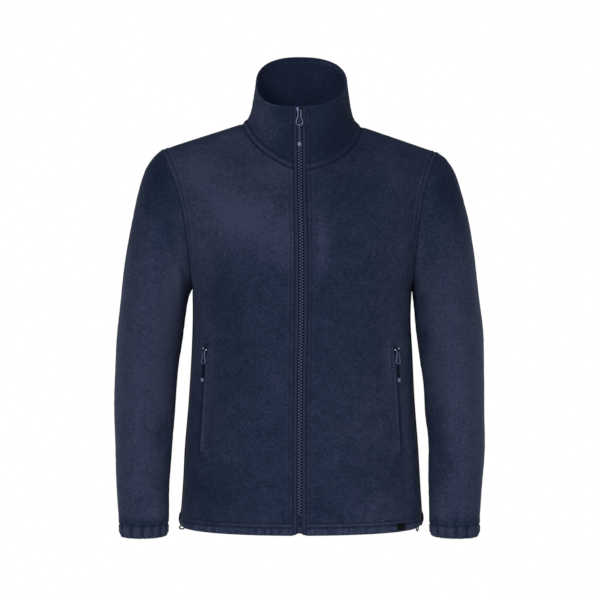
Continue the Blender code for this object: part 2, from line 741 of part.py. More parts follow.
def pull(prefix, place, scale, sway, cord_slot):
    """The hinged pull: a flat loop through the crown, a short cord and its moulded end."""
    at, _ = place
    half = PULL_BAR / 2
    drop, reach = PULL_OUTLINE["drop"] * scale, PULL_OUTLINE["reach"] * scale
    reach[:-1] = np.maximum(reach[:-1], CROWN["width"] / 2 + PULL_BAR + CROWN_CLEARANCE)
    height = half - drop - PULL_BAR * np.linspace(0, 1, len(drop))
    inner_reach, inner_height = reach - PULL_BAR, height.copy()
    inner_height[0] -= PULL_BAR
    inner_height[-1] += PULL_BAR
    right, inner = list(zip(reach, height)), list(zip(inner_reach, inner_height))
    outer_loop = right + [(-x, z) for x, z in right[::-1]]
    inner_loop = inner + [(-x, z) for x, z in inner[::-1]]
    thick = PULL_THICKNESS / 2
    puller = hoop(
        f"{prefix}_puller", outer_loop, inner_loop, -thick, thick, place, "slider_grey", at
    )
    foot = -drop[-1] - half - SEAM_GAP
    long, wide = PULL_CORD["length"] * scale, PULL_CORD["width"] * scale / 2
    steps = np.linspace(0, 1, 6)
    bend = sway * np.sin(PI * steps)
    strap = [(x + wide, foot - long * t) for x, t in zip(bend, steps)]
    strap += [(x - wide, foot - long * t) for x, t in zip(bend[::-1], steps[::-1])]
    thick = PULL_CORD["thickness"] / 2
    cord = prism(f"{prefix}_pull_cord", strap, -thick, thick, place, cord_slot, at)
    foot -= long + SEAM_GAP
    long, wide = PULL_END["length"] * scale, PULL_END["width"] * scale / 2
    cut = PULL_END["corner"] * scale
    block = [
        (-wide + cut, foot), (wide - cut, foot), (wide, foot - cut), (wide, foot - long + cut),
        (wide - cut, foot - long), (-wide + cut, foot - long), (-wide, foot - long + cut),
        (-wide, foot - cut),
    ]
    thick = PULL_END["thickness"] * scale / 2
    end = prism(f"{prefix}_pull_end", block, -thick, thick, place, "pull_end_grey", at)
    return puller, cord, end


def zip_edge(halves, collar, side):
    """The folded edge beside the zip, from the hem to the collar's top."""
    front = halves[side, "front"][:, 0]
    return np.concatenate([front, collar[1:, 0 if side == "right" else -1]])


def profile_at(edge, height):
    """y of the zip's edge at a height."""
    return float(np.interp(height, edge[:, 2], edge[:, 1]))


def build_zip(halves, collar):
    """The tapes, the box and pin at the foot, and the slider with its pull at the top."""
    for side, sign in (("right", -1), ("left", 1)):
        edge = zip_edge(halves, collar, side).copy()
        foot = HEM_HEIGHT + TAPE_FOOT
        edge[0] = (edge[0][0], profile_at(edge, foot), foot)
        back = unit(np.cross(np.gradient(edge, axis=0), (1.0, 0.0, 0.0)))
        back *= np.sign(back[:, 1:2])
        reaches = sign * np.array([SEAM_GAP / 2, ZIP_REACH - SEAM_GAP])
        face = np.repeat(edge[:, None], 2, axis=1)
        face[..., 0] = reaches
        face = face + TAPE_DEPTH * back[:, None]
        wall(f"zip_tape_{side}", face, face + TAPE_THICKNESS * back[:, None], "zip_tape_navy")
    edge = zip_edge(halves, collar, "right")
    foot = HEM_HEIGHT + TAPE_FOOT
    stands = TAPE_DEPTH - SEAM_GAP
    at = (0.0, profile_at(edge, foot) + stands, foot)
    place = frame(at, (1, 0, 0), (0, 0, 1))
    box_top = BOX["foot"] + BOX["height"]
    outline = rectangle(BOX["reach"], (BOX["foot"], box_top))
    prism("zip_box", outline, -BOX["thickness"], 0.0, place, "zip_tape_navy")
    pin_foot = box_top + SEAM_GAP
    outline = rectangle(PIN["reach"], (pin_foot, pin_foot + PIN["height"]))
    prism("zip_pin", outline, -PIN["thickness"], 0.0, place, "zip_tape_navy")
    y = profile_at(edge, ZIP_SLIDER_HEIGHT)
    half = SLIDER["length"] / 2
    lean = profile_at(edge, ZIP_SLIDER_HEIGHT + half) - profile_at(edge, ZIP_SLIDER_HEIGHT - half)
    at = (0.0, y - ZIP_SLIDER_STAND, ZIP_SLIDER_HEIGHT)
    place = frame(at, (1, 0, 0), (0.0, lean, SLIDER["length"]))
    axis_y = slider("zip_slider", place, 1.0)
    hinge = placed([(0.0, axis_y, 0.0)], place)[0]
    pull("zip", frame(hinge, (1, 0, 0), (0, 0, 1)), 1.0, 0.0, "cord_grey")
    return hinge


def seated(tree, points, outward, stand):
    """Points dropped onto a panel along -outward, then raised from it by stand."""
    made = []
    directions = np.broadcast_to(outward, points.shape).reshape(-1, 3)
    for point, out in zip(points.reshape(-1, 3), directions):
        start = Vector((point + DROP_FROM * out) * MM)
        hit = tree.ray_cast(start, Vector(-out))[0]
        made.append(np.array(hit) / MM + stand * out)
    return np.array(made).reshape(points.shape)


def laid_on(name, tree, points, outward, stand, thickness, slot):
    """A strip that lies on a panel: the panel's points moved out."""
    low = seated(tree, points, outward, stand)
    return wall(name, low + thickness * outward, low, slot)


def front_normal(side, reach, height):
    """Outward unit normal of a front."""
    here = front_at(side, np.array(reach), np.array(height))
    aside = front_at(side, np.array(reach + 0.5), np.array(height)) - here
    above = front_at(side, np.array(reach), np.array(height + 0.5)) - here
    normal = unit(np.cross(aside, above)) * SIDES[side]["sign"]
    return normal


def on_slit(side, share):
    """Reach and height of a pocket's slit, a share of the way down it."""
    top, bottom = (np.array(POCKETS[side][end]) for end in ("top", "bottom"))
    share = np.asarray(share, float)
    return top[0] + (bottom[0] - top[0]) * share, top[1] + (bottom[1] - top[1]) * share


def build_pocket(side):
    """A pocket's welt and coil, and its slider with the pull, on one front."""
    sign = SIDES[side]["sign"]
    panel = bpy.data.objects[f"front_{side}"]
    tree = BVHTree.FromObject(panel, bpy.context.evaluated_depsgraph_get())
    reach, height = on_slit(side, np.linspace(0, 1, POCKET_ROWS + 1))
    outward = front_normal(side, reach, height)[:, None]
    flat = np.cross(outward, unit(np.gradient(front_at(side, reach, height), axis=0))[:, None])
    flat = flat * np.sign(flat[..., :1]) * sign
    line = front_at(side, reach, height)[:, None]
    inward = np.array([0.0, WELT_WIDTH / 2, WELT_WIDTH])[None, :, None]
    laid_on(
        f"pocket_welt_{side}", tree, line - flat * (inward + SEAM_GAP), outward,
        SEAM_GAP, WELT_THICKNESS, "fleece_navy",
    )
    aside = np.array([0.0, COIL_WIDTH])[None, :, None]
    laid_on(
        f"pocket_coil_{side}", tree, line + flat * aside, outward,
        SEAM_GAP, COIL_THICKNESS, "zip_tape_navy",
    )
    reach, height = on_slit(side, POCKET_SLIDER_SHARE)
    out = front_normal(side, reach, height)
    stand = SEAM_GAP + WELT_THICKNESS + POCKET_SLIDER_STAND
    at = seated(tree, front_at(side, reach, height)[None], out, stand)[0]
    above, below = (
        front_at(side, *on_slit(side, POCKET_SLIDER_SHARE + aside)) for aside in (-0.04, 0.04)
    )
    along = above - below
    axis = np.cross(unit(along), -out)
    axis = axis * np.sign(axis[0])
    place = frame(at, axis, along)
    axis_y = slider(f"pocket_slider_{side}", place, POCKET_PULL_SCALE)
    hinge = placed([(0.0, axis_y, 0.0)], place)[0]
    pull(
        f"pocket_{side}", frame(hinge, axis, (0, 0, 1)), POCKET_PULL_SCALE,
        -POCKET_PULL_BEND * sign, "cord_dark",
    )
    return hinge, axis


def build_label():
    """The folded tab, bare, on the hem of one front."""
    side = LABEL["side"]
    panel = bpy.data.objects[f"front_{side}"]
    tree = BVHTree.FromObject(panel, bpy.context.evaluated_depsgraph_get())
    reach = np.linspace(*LABEL["reach"], LABEL["columns"])[None]
    height = np.array(LABEL["heights"])[:, None]
    points = front_at(side, reach + 0 * height, height + 0 * reach)
    middle = np.mean(LABEL["reach"]), np.mean(LABEL["heights"])
    laid_on(
        "hem_label", tree, points, front_normal(side, *middle)[None, None],
        LABEL["stand"], LABEL["thickness"], "label_black",
    )


def build_hem_loops():
    """The drawcord's loops under the hem at the side seams."""
    for side, loop in HEM_LOOPS.items():
        top = HEM_HEIGHT - SEAM_GAP - HEM_CORD / 2
        sign = SIDES[side]["sign"]
        bent = bpy.data.curves.new(f"hem_cord_{side}", "CURVE")
        bent.dimensions = "3D"
        bent.bevel_depth = HEM_CORD / 2 * MM
        bent.bevel_resolution = 1
        spline = bent.splines.new("POLY")
        angles = 2 * PI * np.arange(HEM_CORD_STEPS) / HEM_CORD_STEPS
        spline.points.add(len(angles) - 1)
        turned = math.radians(loop["turned"])
        for point, a in zip(spline.points, angles):
            across = loop["half_width"] * math.cos(a)
            point.co = (
                (sign * loop["reach"] + across * math.cos(turned)) * MM,
                across * math.sin(turned) * MM,
                (top - loop["half_height"] * (1 - math.sin(a))) * MM,
                1.0,
            )
        spline.use_cyclic_u = True
        made = bpy.data.objects.new(f"hem_cord_{side}", bent)
        made.data.materials.append(material("cord_dark"))
        bpy.context.scene.collection.objects.link(made)


def main():
    """Clears the scene and builds the jacket."""
    for old in list(bpy.data.objects):
        bpy.data.objects.remove(old)
    halves, collar = build_cloth()
    hinges = {"zip": (build_zip(halves, collar), np.array([1.0, 0.0, 0.0]))}
    bpy.context.view_layer.update()
    for side in SIDES:
        hinges[f"pocket_{side}"] = build_pocket(side)
    build_label()
    build_hem_loops()
    for name, (at, axis) in hinges.items():
        print(f"{name} pull hinges at {np.round(at * MM, 5)} about {np.round(axis, 4)}")


main()
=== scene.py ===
# %% [markdown]
# # A fleece zip jacket, piece by piece
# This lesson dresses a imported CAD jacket. The real one is cut from brushed fleece, sewn along
# the armholes, neck and sides, and closed with a moulded zip. Each cloth piece is a surface
# worked out from sizes, as a pattern cutter would state them, and the sewing, the zip's teeth
# and the nap come after it. Sizes are millimetres here, and MM turns them into metres.

# %% Load the jacket's frame
import math

import bmesh
import bpy
import numpy as np
from mathutils import Matrix, Vector
from mathutils.bvhtree import BVHTree


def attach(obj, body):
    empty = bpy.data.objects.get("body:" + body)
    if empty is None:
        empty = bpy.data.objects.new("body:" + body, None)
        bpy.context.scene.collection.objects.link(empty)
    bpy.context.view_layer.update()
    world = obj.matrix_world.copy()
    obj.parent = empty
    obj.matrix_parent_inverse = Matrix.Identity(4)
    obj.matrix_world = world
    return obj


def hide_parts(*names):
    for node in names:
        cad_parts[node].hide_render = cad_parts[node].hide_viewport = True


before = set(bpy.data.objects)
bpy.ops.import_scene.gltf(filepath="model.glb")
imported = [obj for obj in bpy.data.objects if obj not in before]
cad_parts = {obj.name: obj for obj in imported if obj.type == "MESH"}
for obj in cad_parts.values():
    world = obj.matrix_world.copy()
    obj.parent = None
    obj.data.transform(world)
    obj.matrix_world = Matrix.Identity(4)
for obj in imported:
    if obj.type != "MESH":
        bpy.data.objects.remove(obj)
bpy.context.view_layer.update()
MM = 0.001
PI = math.pi


def turns(count):
    """Even turns round a circle, from 0 to just under 2 pi."""
    return 2 * PI * np.arange(count) / count


def linked(name, data):
    """A new object with some data, put into the scene."""
    made = bpy.data.objects.new(name, data)
    bpy.context.scene.collection.objects.link(made)
    return made


# %% [markdown]
# ## The camera, the floor and the light
# A packshot is taken square on, from far enough away that the sleeves don't look swollen. The
# lens is long, so its view is narrow. The jacket hangs in a white room. The soft main light comes
# from the front, a little from the left, and two lights behind it give its outline bright edges.

# %% Camera
CAMERA_PLACE = (0.0009, -2.7, -0.32)
CAMERA_LENS, SENSOR = 93.1, 36.0  # mm

camera = linked("camera", bpy.data.cameras.new("camera"))
camera.location = CAMERA_PLACE
camera.rotation_euler = (math.radians(90), 0, 0)
camera.data.lens = CAMERA_LENS
camera.data.sensor_width = SENSOR
bpy.context.scene.camera = camera
print("camera", CAMERA_PLACE, "lens", CAMERA_LENS)


# %% Colours and nodes
def linear(code, alpha=1.0):
    """sRGB hex to linear: c / 12.92 below 0.04045, else ((c + 0.055) / 1.055) ^ 2.4."""
    srgb = np.array([int(code[k : k + 2], 16) / 255 for k in (0, 2, 4)])
    low, high = srgb / 12.92, ((srgb + 0.055) / 1.055) ** 2.4
    return (*np.where(srgb <= 0.04045, low, high).tolist(), alpha)


def put(tree, socket, value):
    """Gives an input a value or another node's output."""
    if isinstance(value, bpy.types.NodeSocket):
        tree.links.new(value, socket)
    else:
        socket.default_value = value


def node(tree, kind, settings=None, **inputs):
    """Adds a node with its settings and its inputs."""
    made = tree.nodes.new(kind)
    for name, value in (settings or {}).items():
        setattr(made, name, value)
    for name, value in inputs.items():
        put(tree, made.inputs[name.replace("_", " ")], value)
    return made


def maths(tree, operation, *values):
    """A Math node's result from its inputs in order."""
    made = node(tree, "ShaderNodeMath", {"operation": operation})
    for socket, value in zip(made.inputs, values):
        put(tree, socket, value)
    return made.outputs["Value"]


def new_material(name, **surface):
    """A Principled material with constants on its own sockets; returns it, its tree and shader."""
    made = bpy.data.materials.new(name)
    made.use_nodes = True
    shader = made.node_tree.nodes["Principled BSDF"]
    for socket, value in surface.items():
        shader.inputs[socket.replace("_", " ")].default_value = value
    return made, made.node_tree, shader


def texture(tree, kind, settings=None, **inputs):
    """A texture on Object coordinates: its Fac."""
    place = node(tree, "ShaderNodeTexCoord").outputs["Object"]
    return node(tree, kind, settings, Vector=place, **inputs).outputs["Fac"]


def stretched(tree, value, low, high):
    """A noise's usual range, 0.3 to 0.7, stretched from low to high."""
    made = node(
        tree, "ShaderNodeMapRange", Value=value, From_Min=0.3, From_Max=0.7, To_Min=low, To_Max=high
    )
    return made.outputs["Result"]


def ramped(tree, level, codes, blend="LINEAR"):
    """The colour at a level from 0 to 1, on a ramp through hex codes at even steps."""
    made = node(tree, "ShaderNodeValToRGB", Fac=level)
    made.color_ramp.interpolation = blend
    stops = made.color_ramp.elements
    stops[0].color, stops[1].color = linear(codes[0]), linear(codes[-1])
    for k in range(1, len(codes) - 1):
        stops.new(k / (len(codes) - 1)).color = linear(codes[k])
    return made.outputs["Color"]


def bumped(tree, shader, height, strength, deep):
    """Lets a height, deep in millimetres, bend the surface's normal."""
    bump = node(tree, "ShaderNodeBump", Strength=strength, Distance=deep * MM, Height=height)
    tree.links.new(bump.outputs["Normal"], shader.inputs["Normal"])


print("middle grey 808080 is", round(linear("808080")[0], 3), "in linear light")

# %% Floor and lights
FLOOR_HEIGHT = -1.05
FLOOR_RADIUS = 1.0
FLOOR_GLOW = 0.25  # light paper that passes some of the room's light on
STUDIO_WHITE, STUDIO_BOUNCE = 1.0, 0.23  # what is seen of the white room, and what it lights
LIGHTS = {  # place, aim, size and power
    "key": ((-1.3, -2.6, 0.6), (-0.05, 0, -0.15), 1.2, 43.5),
    "fill": ((1.9, -2.2, -0.1), (0, 0, -0.35), 1.2, 20),
    "rim_left": ((-1.7, 1.5, -0.5), (0, 0, -0.45), 1.4, 20),
    "rim_right": ((1.7, 1.5, -0.5), (0, 0, -0.45), 1.4, 20),
}


def add_floor():
    """A round pale floor, well under the hem: 64 points on a circle, filled. It is clear from
    below, so that the open hem can be looked into."""
    turn = turns(64)
    x, y = FLOOR_RADIUS * np.cos(turn), FLOOR_RADIUS * np.sin(turn)
    mesh = bpy.data.meshes.new("floor")
    mesh.from_pydata([(*at, FLOOR_HEIGHT) for at in zip(x, y)], [], [list(range(len(turn)))])
    floor = linked("floor", mesh)
    paper, tree, shader = new_material(
        "floor_paper", Base_Color=linear("F2F2F2"), Roughness=0.9,
        Emission_Color=linear("FFFFFF"), Emission_Strength=FLOOR_GLOW,
    )
    below = node(tree, "ShaderNodeNewGeometry").outputs["Backfacing"]
    clear = node(tree, "ShaderNodeBsdfTransparent").outputs["BSDF"]
    either = node(tree, "ShaderNodeMixShader", Fac=below)
    tree.links.new(shader.outputs["BSDF"], either.inputs[1])
    tree.links.new(clear, either.inputs[2])
    tree.links.new(either.outputs["Shader"], tree.nodes["Material Output"].inputs["Surface"])
    mesh.materials.append(paper)


def add_light(name, place, aim, size, power):
    """A square area light at a place, turned towards its aim."""
    lamp = bpy.data.lights.new(name, "AREA")
    lamp.size = size
    lamp.energy = power
    made = linked(name, lamp)
    made.location = place
    made.rotation_euler = (Vector(aim) - Vector(place)).to_track_quat("-Z", "Y").to_euler()


def add_room():
    """A white room: bright where it is seen, and dim as a light, so that folds keep shade."""
    world = bpy.data.worlds.new("studio")
    world.use_nodes = True
    tree = world.node_tree
    seen = node(tree, "ShaderNodeLightPath").outputs["Is Camera Ray"]
    strength = node(
        tree, "ShaderNodeMapRange", Value=seen, To_Min=STUDIO_BOUNCE, To_Max=STUDIO_WHITE
    )
    room = tree.nodes["Background"]
    room.inputs["Color"].default_value = (1, 1, 1, 1)
    tree.links.new(strength.outputs["Result"], room.inputs["Strength"])
    bpy.context.scene.world = world


add_floor()
add_room()
for name, stand in LIGHTS.items():
    add_light(name, *stand)
bpy.context.scene.view_settings.view_transform = "Standard"
print("floor at", FLOOR_HEIGHT, "lights", len(bpy.data.lights))

# %% [markdown]
# ## The form of the body
# A worn jacket is a tube that closes over the shoulders. Seen from above each ring of it is a
# rounded box, which a superellipse gives with one number, its power. Tables state how wide and
# how deep the rings are, and the depth runs out to nothing at the shoulder's ridge, so front
# and back meet there. The armhole is a curve on this form, and the sleeve starts on the same
# curve. Working it out this way keeps every seam shared by the pieces on both sides of it.


# %% Sizes of the jacket
def table(columns, *rows):
    """Sizes as one array for each named column."""
    return {name: np.array(values, float) for name, values in zip(columns.split(), zip(*rows))}


FLEECE = 2.4
COLLAR_LAYERS = 4.4
HEM_LAYERS = 4.2
CUFF_LAYERS = 3.4
HEM_HEIGHT = -711.5
HEM_TURN = 22.0
ZIP_REACH = 11.5
INNER = {"front": ZIP_REACH, "back": 0.0}  # where a half starts beside the middle
RING_POWER = 2.35
NECK_FRONT_HEIGHT = -101.0
NECK_WALL_RISE = 0.87
NECK_WALL_ROUND = 40.0
SHOULDER_ROLL = {"front": 160.0, "back": 120.0}
ARMHOLE_DEPTH = 70.0
BACK_INSET = 0.5
SHOULDER_GAP = 0.4  # mm below the shoulder's point, where the last ring lies
LEAN_MOST = 0.97  # of a ring's depth, the most that an armhole's point may have
CHEST_STARTS, CHEST_FULL = 60.0, 200.0
SIDES = {
    "right": {
        "sign": -1, "neck_reach": 99.0, "neck_height": -13.0, "neck_power": 1.5,
        "shoulder_reach": 242.0, "shoulder_height": -60.5,
        "armpit_reach": 184.0, "armpit_height": -299.0, "inset": 18.0, "inset_skew": 0.75,
        "mouth_reach": 76.0, "mouth_power": 2.8,
    },
    "left": {
        "sign": 1, "neck_reach": 107.0, "neck_height": -18.5, "neck_power": 1.9,
        "shoulder_reach": 243.0, "shoulder_height": -65.0,
        "armpit_reach": 193.0, "armpit_height": -299.0, "inset": 16.0, "inset_skew": 0.65,
        "mouth_reach": 83.0, "mouth_power": 2.2,
    },
}
WIDTHS = table(
    "height right left",
    (-711.5, 203, 208), (-703, 206, 211.5), (-690, 204.5, 211), (-640, 200.5, 208),
    (-580, 197.5, 204.5), (-494, 190.5, 198), (-410, 185.5, 194), (-350, 183.5, 191),
    (-299, 184, 193),
)
DEPTHS = table(
    "height front chest back",
    (-711.5, 127, 127, 121), (-640, 126, 126, 117), (-580, 125, 125, 113),
    (-494, 126, 126, 110), (-410, 130, 130, 113), (-350, 134, 134, 121),
    (-299, 136, 136, 127), (-250, 136, 136, 131), (-200, 132, 135, 133),
    (-150, 116, 131, 131), (-101, 87, 126, 125), (-60, 64, 121, 114),
    (-20, 42, 116, 98), (0, 34, 114, 82),
)
print("body sizes", len(WIDTHS["height"]), "widths and", len(DEPTHS["height"]), "depths")


# %% Small maths
def curve(at, knots, values):
    """Cubic through the knots: v0 h00 + d m0 h10 + v1 h01 + d m1 h11, slopes from neighbours."""
    slopes = np.gradient(values, knots)
    low = np.clip(np.searchsorted(knots, at, side="right") - 1, 0, len(knots) - 2)
    step = knots[low + 1] - knots[low]
    t = np.clip((at - knots[low]) / step, 0.0, 1.0)
    start = (1 + 2 * t) * (1 - t) ** 2 * values[low] + t * (1 - t) ** 2 * step * slopes[low]
    end = t * t * (3 - 2 * t) * values[low + 1] + t * t * (t - 1) * step * slopes[low + 1]
    return start + end


def smooth_step(x, low, high):
    """0 below low, 1 above high, 3t^2 - 2t^3 between."""
    t = np.clip((x - low) / (high - low), 0.0, 1.0)
    return t * t * (3 - 2 * t)


def unit(v):
    """Vectors divided by their length."""
    return v / np.maximum(np.linalg.norm(v, axis=-1, keepdims=True), 1e-12)


def rounded(share, power):
    """The other coordinate of a unit superellipse: (1 - share^p)^(1/p)."""
    return (1 - np.clip(share, 0.0, 1.0) ** power) ** (1 / power)


def fine_ends(count):
    """Shares from 0 to 1, close together at both ends: (1 - cos(pi t)) / 2."""
    return (1 - np.cos(PI * np.arange(count + 1) / count)) / 2


def fine_end(count):
    """Shares from 0 to 1, close together at the end: sin(pi t / 2)."""
    return np.sin(PI / 2 * np.arange(count + 1) / count)


def bell(x, width):
    """exp(-(x / width)^2)."""
    return np.exp(-((x / width) ** 2))


print("shares that crowd both ends:", np.round(fine_ends(5), 3))


# %% Shoulders and depths
def xyz(side, reach, y, height):
    """Points on one side of the middle, from their reach away from it, depth and height."""
    return np.stack(np.broadcast_arrays(SIDES[side]["sign"] * reach, y, height), axis=-1)


def ridge(side, reach):
    """Height of the shoulder's ridge: a straight fall outside the neck seam, and inside it the
    same line plus a rise that starts as a parabola and goes on straight."""
    s = SIDES[side]
    slope = (s["neck_height"] - s["shoulder_height"]) / (s["shoulder_reach"] - s["neck_reach"])
    inwards = s["neck_reach"] - reach
    start = np.clip(inwards, 0.0, NECK_WALL_ROUND)
    beyond = np.maximum(inwards - NECK_WALL_ROUND, 0.0)
    rise = NECK_WALL_RISE * (start**2 / (2 * NECK_WALL_ROUND) + beyond)
    return s["neck_height"] + slope * inwards + rise


def top_height(side, face, reach):
    """Height at which a column ends: on the neck seam, a superellipse, or on the shoulder."""
    s = SIDES[side]
    share = np.clip(reach / s["neck_reach"], 0.0, 1.0)
    drop = (NECK_FRONT_HEIGHT - s["neck_height"]) * rounded(share, s["neck_power"])
    neck = s["neck_height"] + drop if face == "front" else s["neck_height"] * share**2
    return np.where(reach > s["neck_reach"], ridge(side, reach), neck)


def depth(side, face, reach, height):
    """Depth of the ring from the table, times a quarter circle down from the ridge."""
    if face == "back":
        full = curve(height, DEPTHS["height"], DEPTHS["back"])
    else:
        centre = curve(height, DEPTHS["height"], DEPTHS["front"])
        chest = curve(height, DEPTHS["height"], DEPTHS["chest"])
        full = centre + (chest - centre) * smooth_step(reach, CHEST_STARTS, CHEST_FULL)
    below = np.clip((ridge(side, reach) - height) / SHOULDER_ROLL[face], 0.0, 1.0)
    return full * np.sqrt(1 - (1 - below) ** 2)


print("ridge 150 mm out, mm:", [round(float(ridge(side, 150.0)), 1) for side in SIDES])


# %% Armholes and rings
def drawn_in(side, turn):
    """How far down the armhole a turn is, and how far its sides are drawn in there."""
    s = SIDES[side]
    down = (1 - np.cos(turn)) / 2
    inset = s["inset"] * np.sin(PI * down ** s["inset_skew"])
    return down, inset * np.where(np.sin(turn) < 0, BACK_INSET, 1.0)


def armhole(side, turn):
    """The armhole seam: a leaning ellipse whose sides are drawn in, more at the front."""
    s = SIDES[side]
    down, inset = drawn_in(side, turn)
    reach = s["shoulder_reach"] + (s["armpit_reach"] - s["shoulder_reach"]) * down - inset
    height = s["shoulder_height"] + (s["armpit_height"] - s["shoulder_height"]) * down
    return reach, -ARMHOLE_DEPTH * np.sin(turn), height


def ring(side, face, height):
    """Half width of the ring at a height, and the angle at which the cloth ends on it."""
    s = SIDES[side]
    width = curve(height, WIDTHS["height"], WIDTHS[side])
    top = s["shoulder_height"] - SHOULDER_GAP
    down = (s["shoulder_height"] - np.minimum(height, top)) / (
        s["shoulder_height"] - s["armpit_height"]
    )
    turn = np.arccos(1 - 2 * np.clip(down, 0.0, 1.0))
    reach, y, level = armhole(side, turn if face == "front" else 2 * PI - turn)
    full = np.maximum(depth(side, face, reach, level), 1.0)
    share = np.clip(np.abs(y) / full, 0.0, LEAN_MOST)
    lean = rounded(share, RING_POWER)
    above = height > s["armpit_height"]
    end = np.where(above, np.arcsin(lean ** (RING_POWER / 2)), PI / 2)
    return np.where(above, reach / lean, width), end


def ring_start(face, width):
    """The angle at which a ring starts beside the middle: arcsin((inner / w)^(p/2))."""
    return np.arcsin((INNER[face] / width) ** (RING_POWER / 2))


def body(side, face, share, height):
    """x = w sin(a)^(2/p), y = d cos(a)^(2/p): a ring's point a share of the way to its side."""
    width, end = ring(side, face, height)
    start = ring_start(face, width)
    angle = start + (end - start) * share
    reach = width * np.sin(angle) ** (2 / RING_POWER)
    out = depth(side, face, reach, height) * np.maximum(np.cos(angle), 0.0) ** (2 / RING_POWER)
    return xyz(side, reach, -out if face == "front" else out, height)


def front_at(side, reach, height):
    """The front's surface at a reach from the middle and a height, by the same superellipse."""
    width, _ = ring(side, "front", height)
    y = -depth(side, "front", reach, height) * rounded(reach / width, RING_POWER)
    return xyz(side, reach, y, height)


print("chest's width, mm:", round(float(2 * ring("left", "front", -350.0)[0])))


# %% Grids of the fronts and the back
NECK_COLUMNS, SHOULDER_COLUMNS = 40, 30
BODY_ROWS, ARMHOLE_ROWS = 92, 56
ARM_TURN = PI * (1 - np.arange(ARMHOLE_ROWS + 1) / ARMHOLE_ROWS)
HEM_STEPS = np.array(
    [0, 0.12, 0.45, 0.95, 1.6, 2.4, 3.6, 5, 6.6, 8.4, 10.2, 11.8, 12.8, 13.5, 14.2, 15.2, 16.6,
     18.2, 19.3, 20, 20.7, 21.8, 23.6]
)


def half_body(side, face):
    """Rows from the hem up, columns outwards; each column ends on the neck or the shoulder."""
    s = SIDES[side]
    neck = INNER[face] + (s["neck_reach"] - INNER[face]) * fine_ends(NECK_COLUMNS)
    out = fine_end(SHOULDER_COLUMNS)[1:]
    reach = np.concatenate([neck, s["neck_reach"] + (s["shoulder_reach"] - s["neck_reach"]) * out])
    top = top_height(side, face, reach)
    width, end = ring(side, face, top)
    start = ring_start(face, width)
    share = (np.arcsin(np.minimum(reach / width, 1.0) ** (RING_POWER / 2)) - start) / (end - start)
    share[-1] = 1.0
    armpit = s["armpit_height"]
    low = HEM_HEIGHT + HEM_STEPS
    low = np.concatenate([low, np.linspace(low[-1], armpit, BODY_ROWS + 1)[1:-1]])
    rise = fine_ends(ARMHOLE_ROWS)
    heights = np.concatenate(
        [np.repeat(low[:, None], len(share), 1), armpit + rise[:, None] * (top - armpit)]
    )
    points = body(side, face, np.broadcast_to(share, heights.shape), heights)
    turn = ARM_TURN if face == "front" else 2 * PI - ARM_TURN
    points[len(low) :, -1] = xyz(side, *armhole(side, turn))
    points[-1, NECK_COLUMNS:, 1] = 0.0
    return points


def swayed(points):
    """The zip of a worn jacket isn't quite straight: x moves by bell(z) bell(x) of the sway."""
    s, moved = ZIP_SWAY, points.copy()
    tall = bell(points[..., 2] - s["height"], s["tall"])
    moved[..., 0] += s["most"] * tall * bell(points[..., 0], s["wide"])
    return moved


ZIP_SWAY = {"most": 3.3, "height": -285.0, "tall": 150.0, "wide": 50.0}
HALVES = {(s, f): half_body(s, f) for s in SIDES for f in ("front", "back")}
LOW_ROWS = len(HEM_STEPS) + BODY_ROWS - 1
print("a front's grid", HALVES["right", "front"].shape[:2])

# %% [markdown]
# ## The sleeves, cuffs and collar
# A set-in sleeve is a tube whose first ring is the armhole itself. Each further ring is stated
# by its outer and inner end as seen from the front, so the two outlines of the sleeve are right
# by construction, and the depth gives the third size. The cuff is an elastic casing: it carries
# the last ring down, draws it in and gathers it. The collar is lofted from the neck seam up to
# a tilted mouth that stands higher behind.

# %% Sizes of sleeves, cuffs and collar
RING_COLUMNS = "outer_reach outer_height inner_reach inner_height depth forward"
SLEEVES = {
    "right": table(
        RING_COLUMNS,
        (242, -60.5, 184, -299, 70, 0), (258, -76, 186.5, -302, 71, 0),
        (272, -104, 189, -307, 72, 0), (286, -160, 192.5, -316, 73, -1),
        (298.5, -224, 196, -331, 73, -2), (307, -285, 200, -358, 72, -4),
        (313, -348, 204.5, -397, 70, -6), (317.5, -398, 209, -428, 67, -9),
        (319.5, -450, 213, -466, 64, -12), (319.5, -511, 216, -517, 60, -16),
        (318.5, -564, 220, -565, 56, -20), (316, -624, 223.5, -624, 51, -24),
        (313.5, -677, 224.5, -676, 46, -27), (311, -705, 225.5, -704.5, 43, -28),
    ),
    "left": table(
        RING_COLUMNS,
        (243, -65, 193, -299, 70, 0), (257, -78, 195, -303, 71, 0),
        (274, -107, 196, -310, 72, 0), (288, -160, 197.5, -322, 73, -1),
        (301, -223, 199, -341, 73, -2), (309, -285, 201, -368, 72, -4),
        (315, -348, 206, -400, 70, -6), (318, -398, 211, -430, 67, -9),
        (319.5, -450, 215, -466, 64, -12), (319.5, -511, 217, -517, 60, -16),
        (318.5, -564, 222, -565, 56, -20), (316, -624, 223.5, -624, 51, -24),
        (312.5, -677, 223.5, -676, 46, -27), (310.5, -705, 223.5, -704.5, 43, -28),
    ),
}
CUFF = table(
    "drop width depth gather",
    (0, 1.0, 1.0, 0.0), (7, 0.985, 0.98, 0.6), (15, 0.965, 0.95, 0.9), (21.5, 0.90, 0.87, 0.3),
)
GATHERS = 14
MOUTH_HEIGHT, MOUTH_FORWARD, MOUTH_DEPTH, MOUTH_RISE = 60.0, -5.0, 74.0, 53.0
MOUTH_BACK_POWER = 2.4
COLLAR_FLARE = {"slow_share": 0.55, "slow": 1.5, "fast": 8.0}
INSET_RINGS = 3.5  # the armhole's inset is gone at this ring
SLEEVE_ROWS, SLEEVE_COLUMNS = 132, 96
CUFF_ROWS, CUFF_COLUMNS = 16, 168
COLLAR_ROWS = 40
print("sleeve rings", len(SLEEVES["right"]["depth"]), "gathers a cuff", GATHERS)


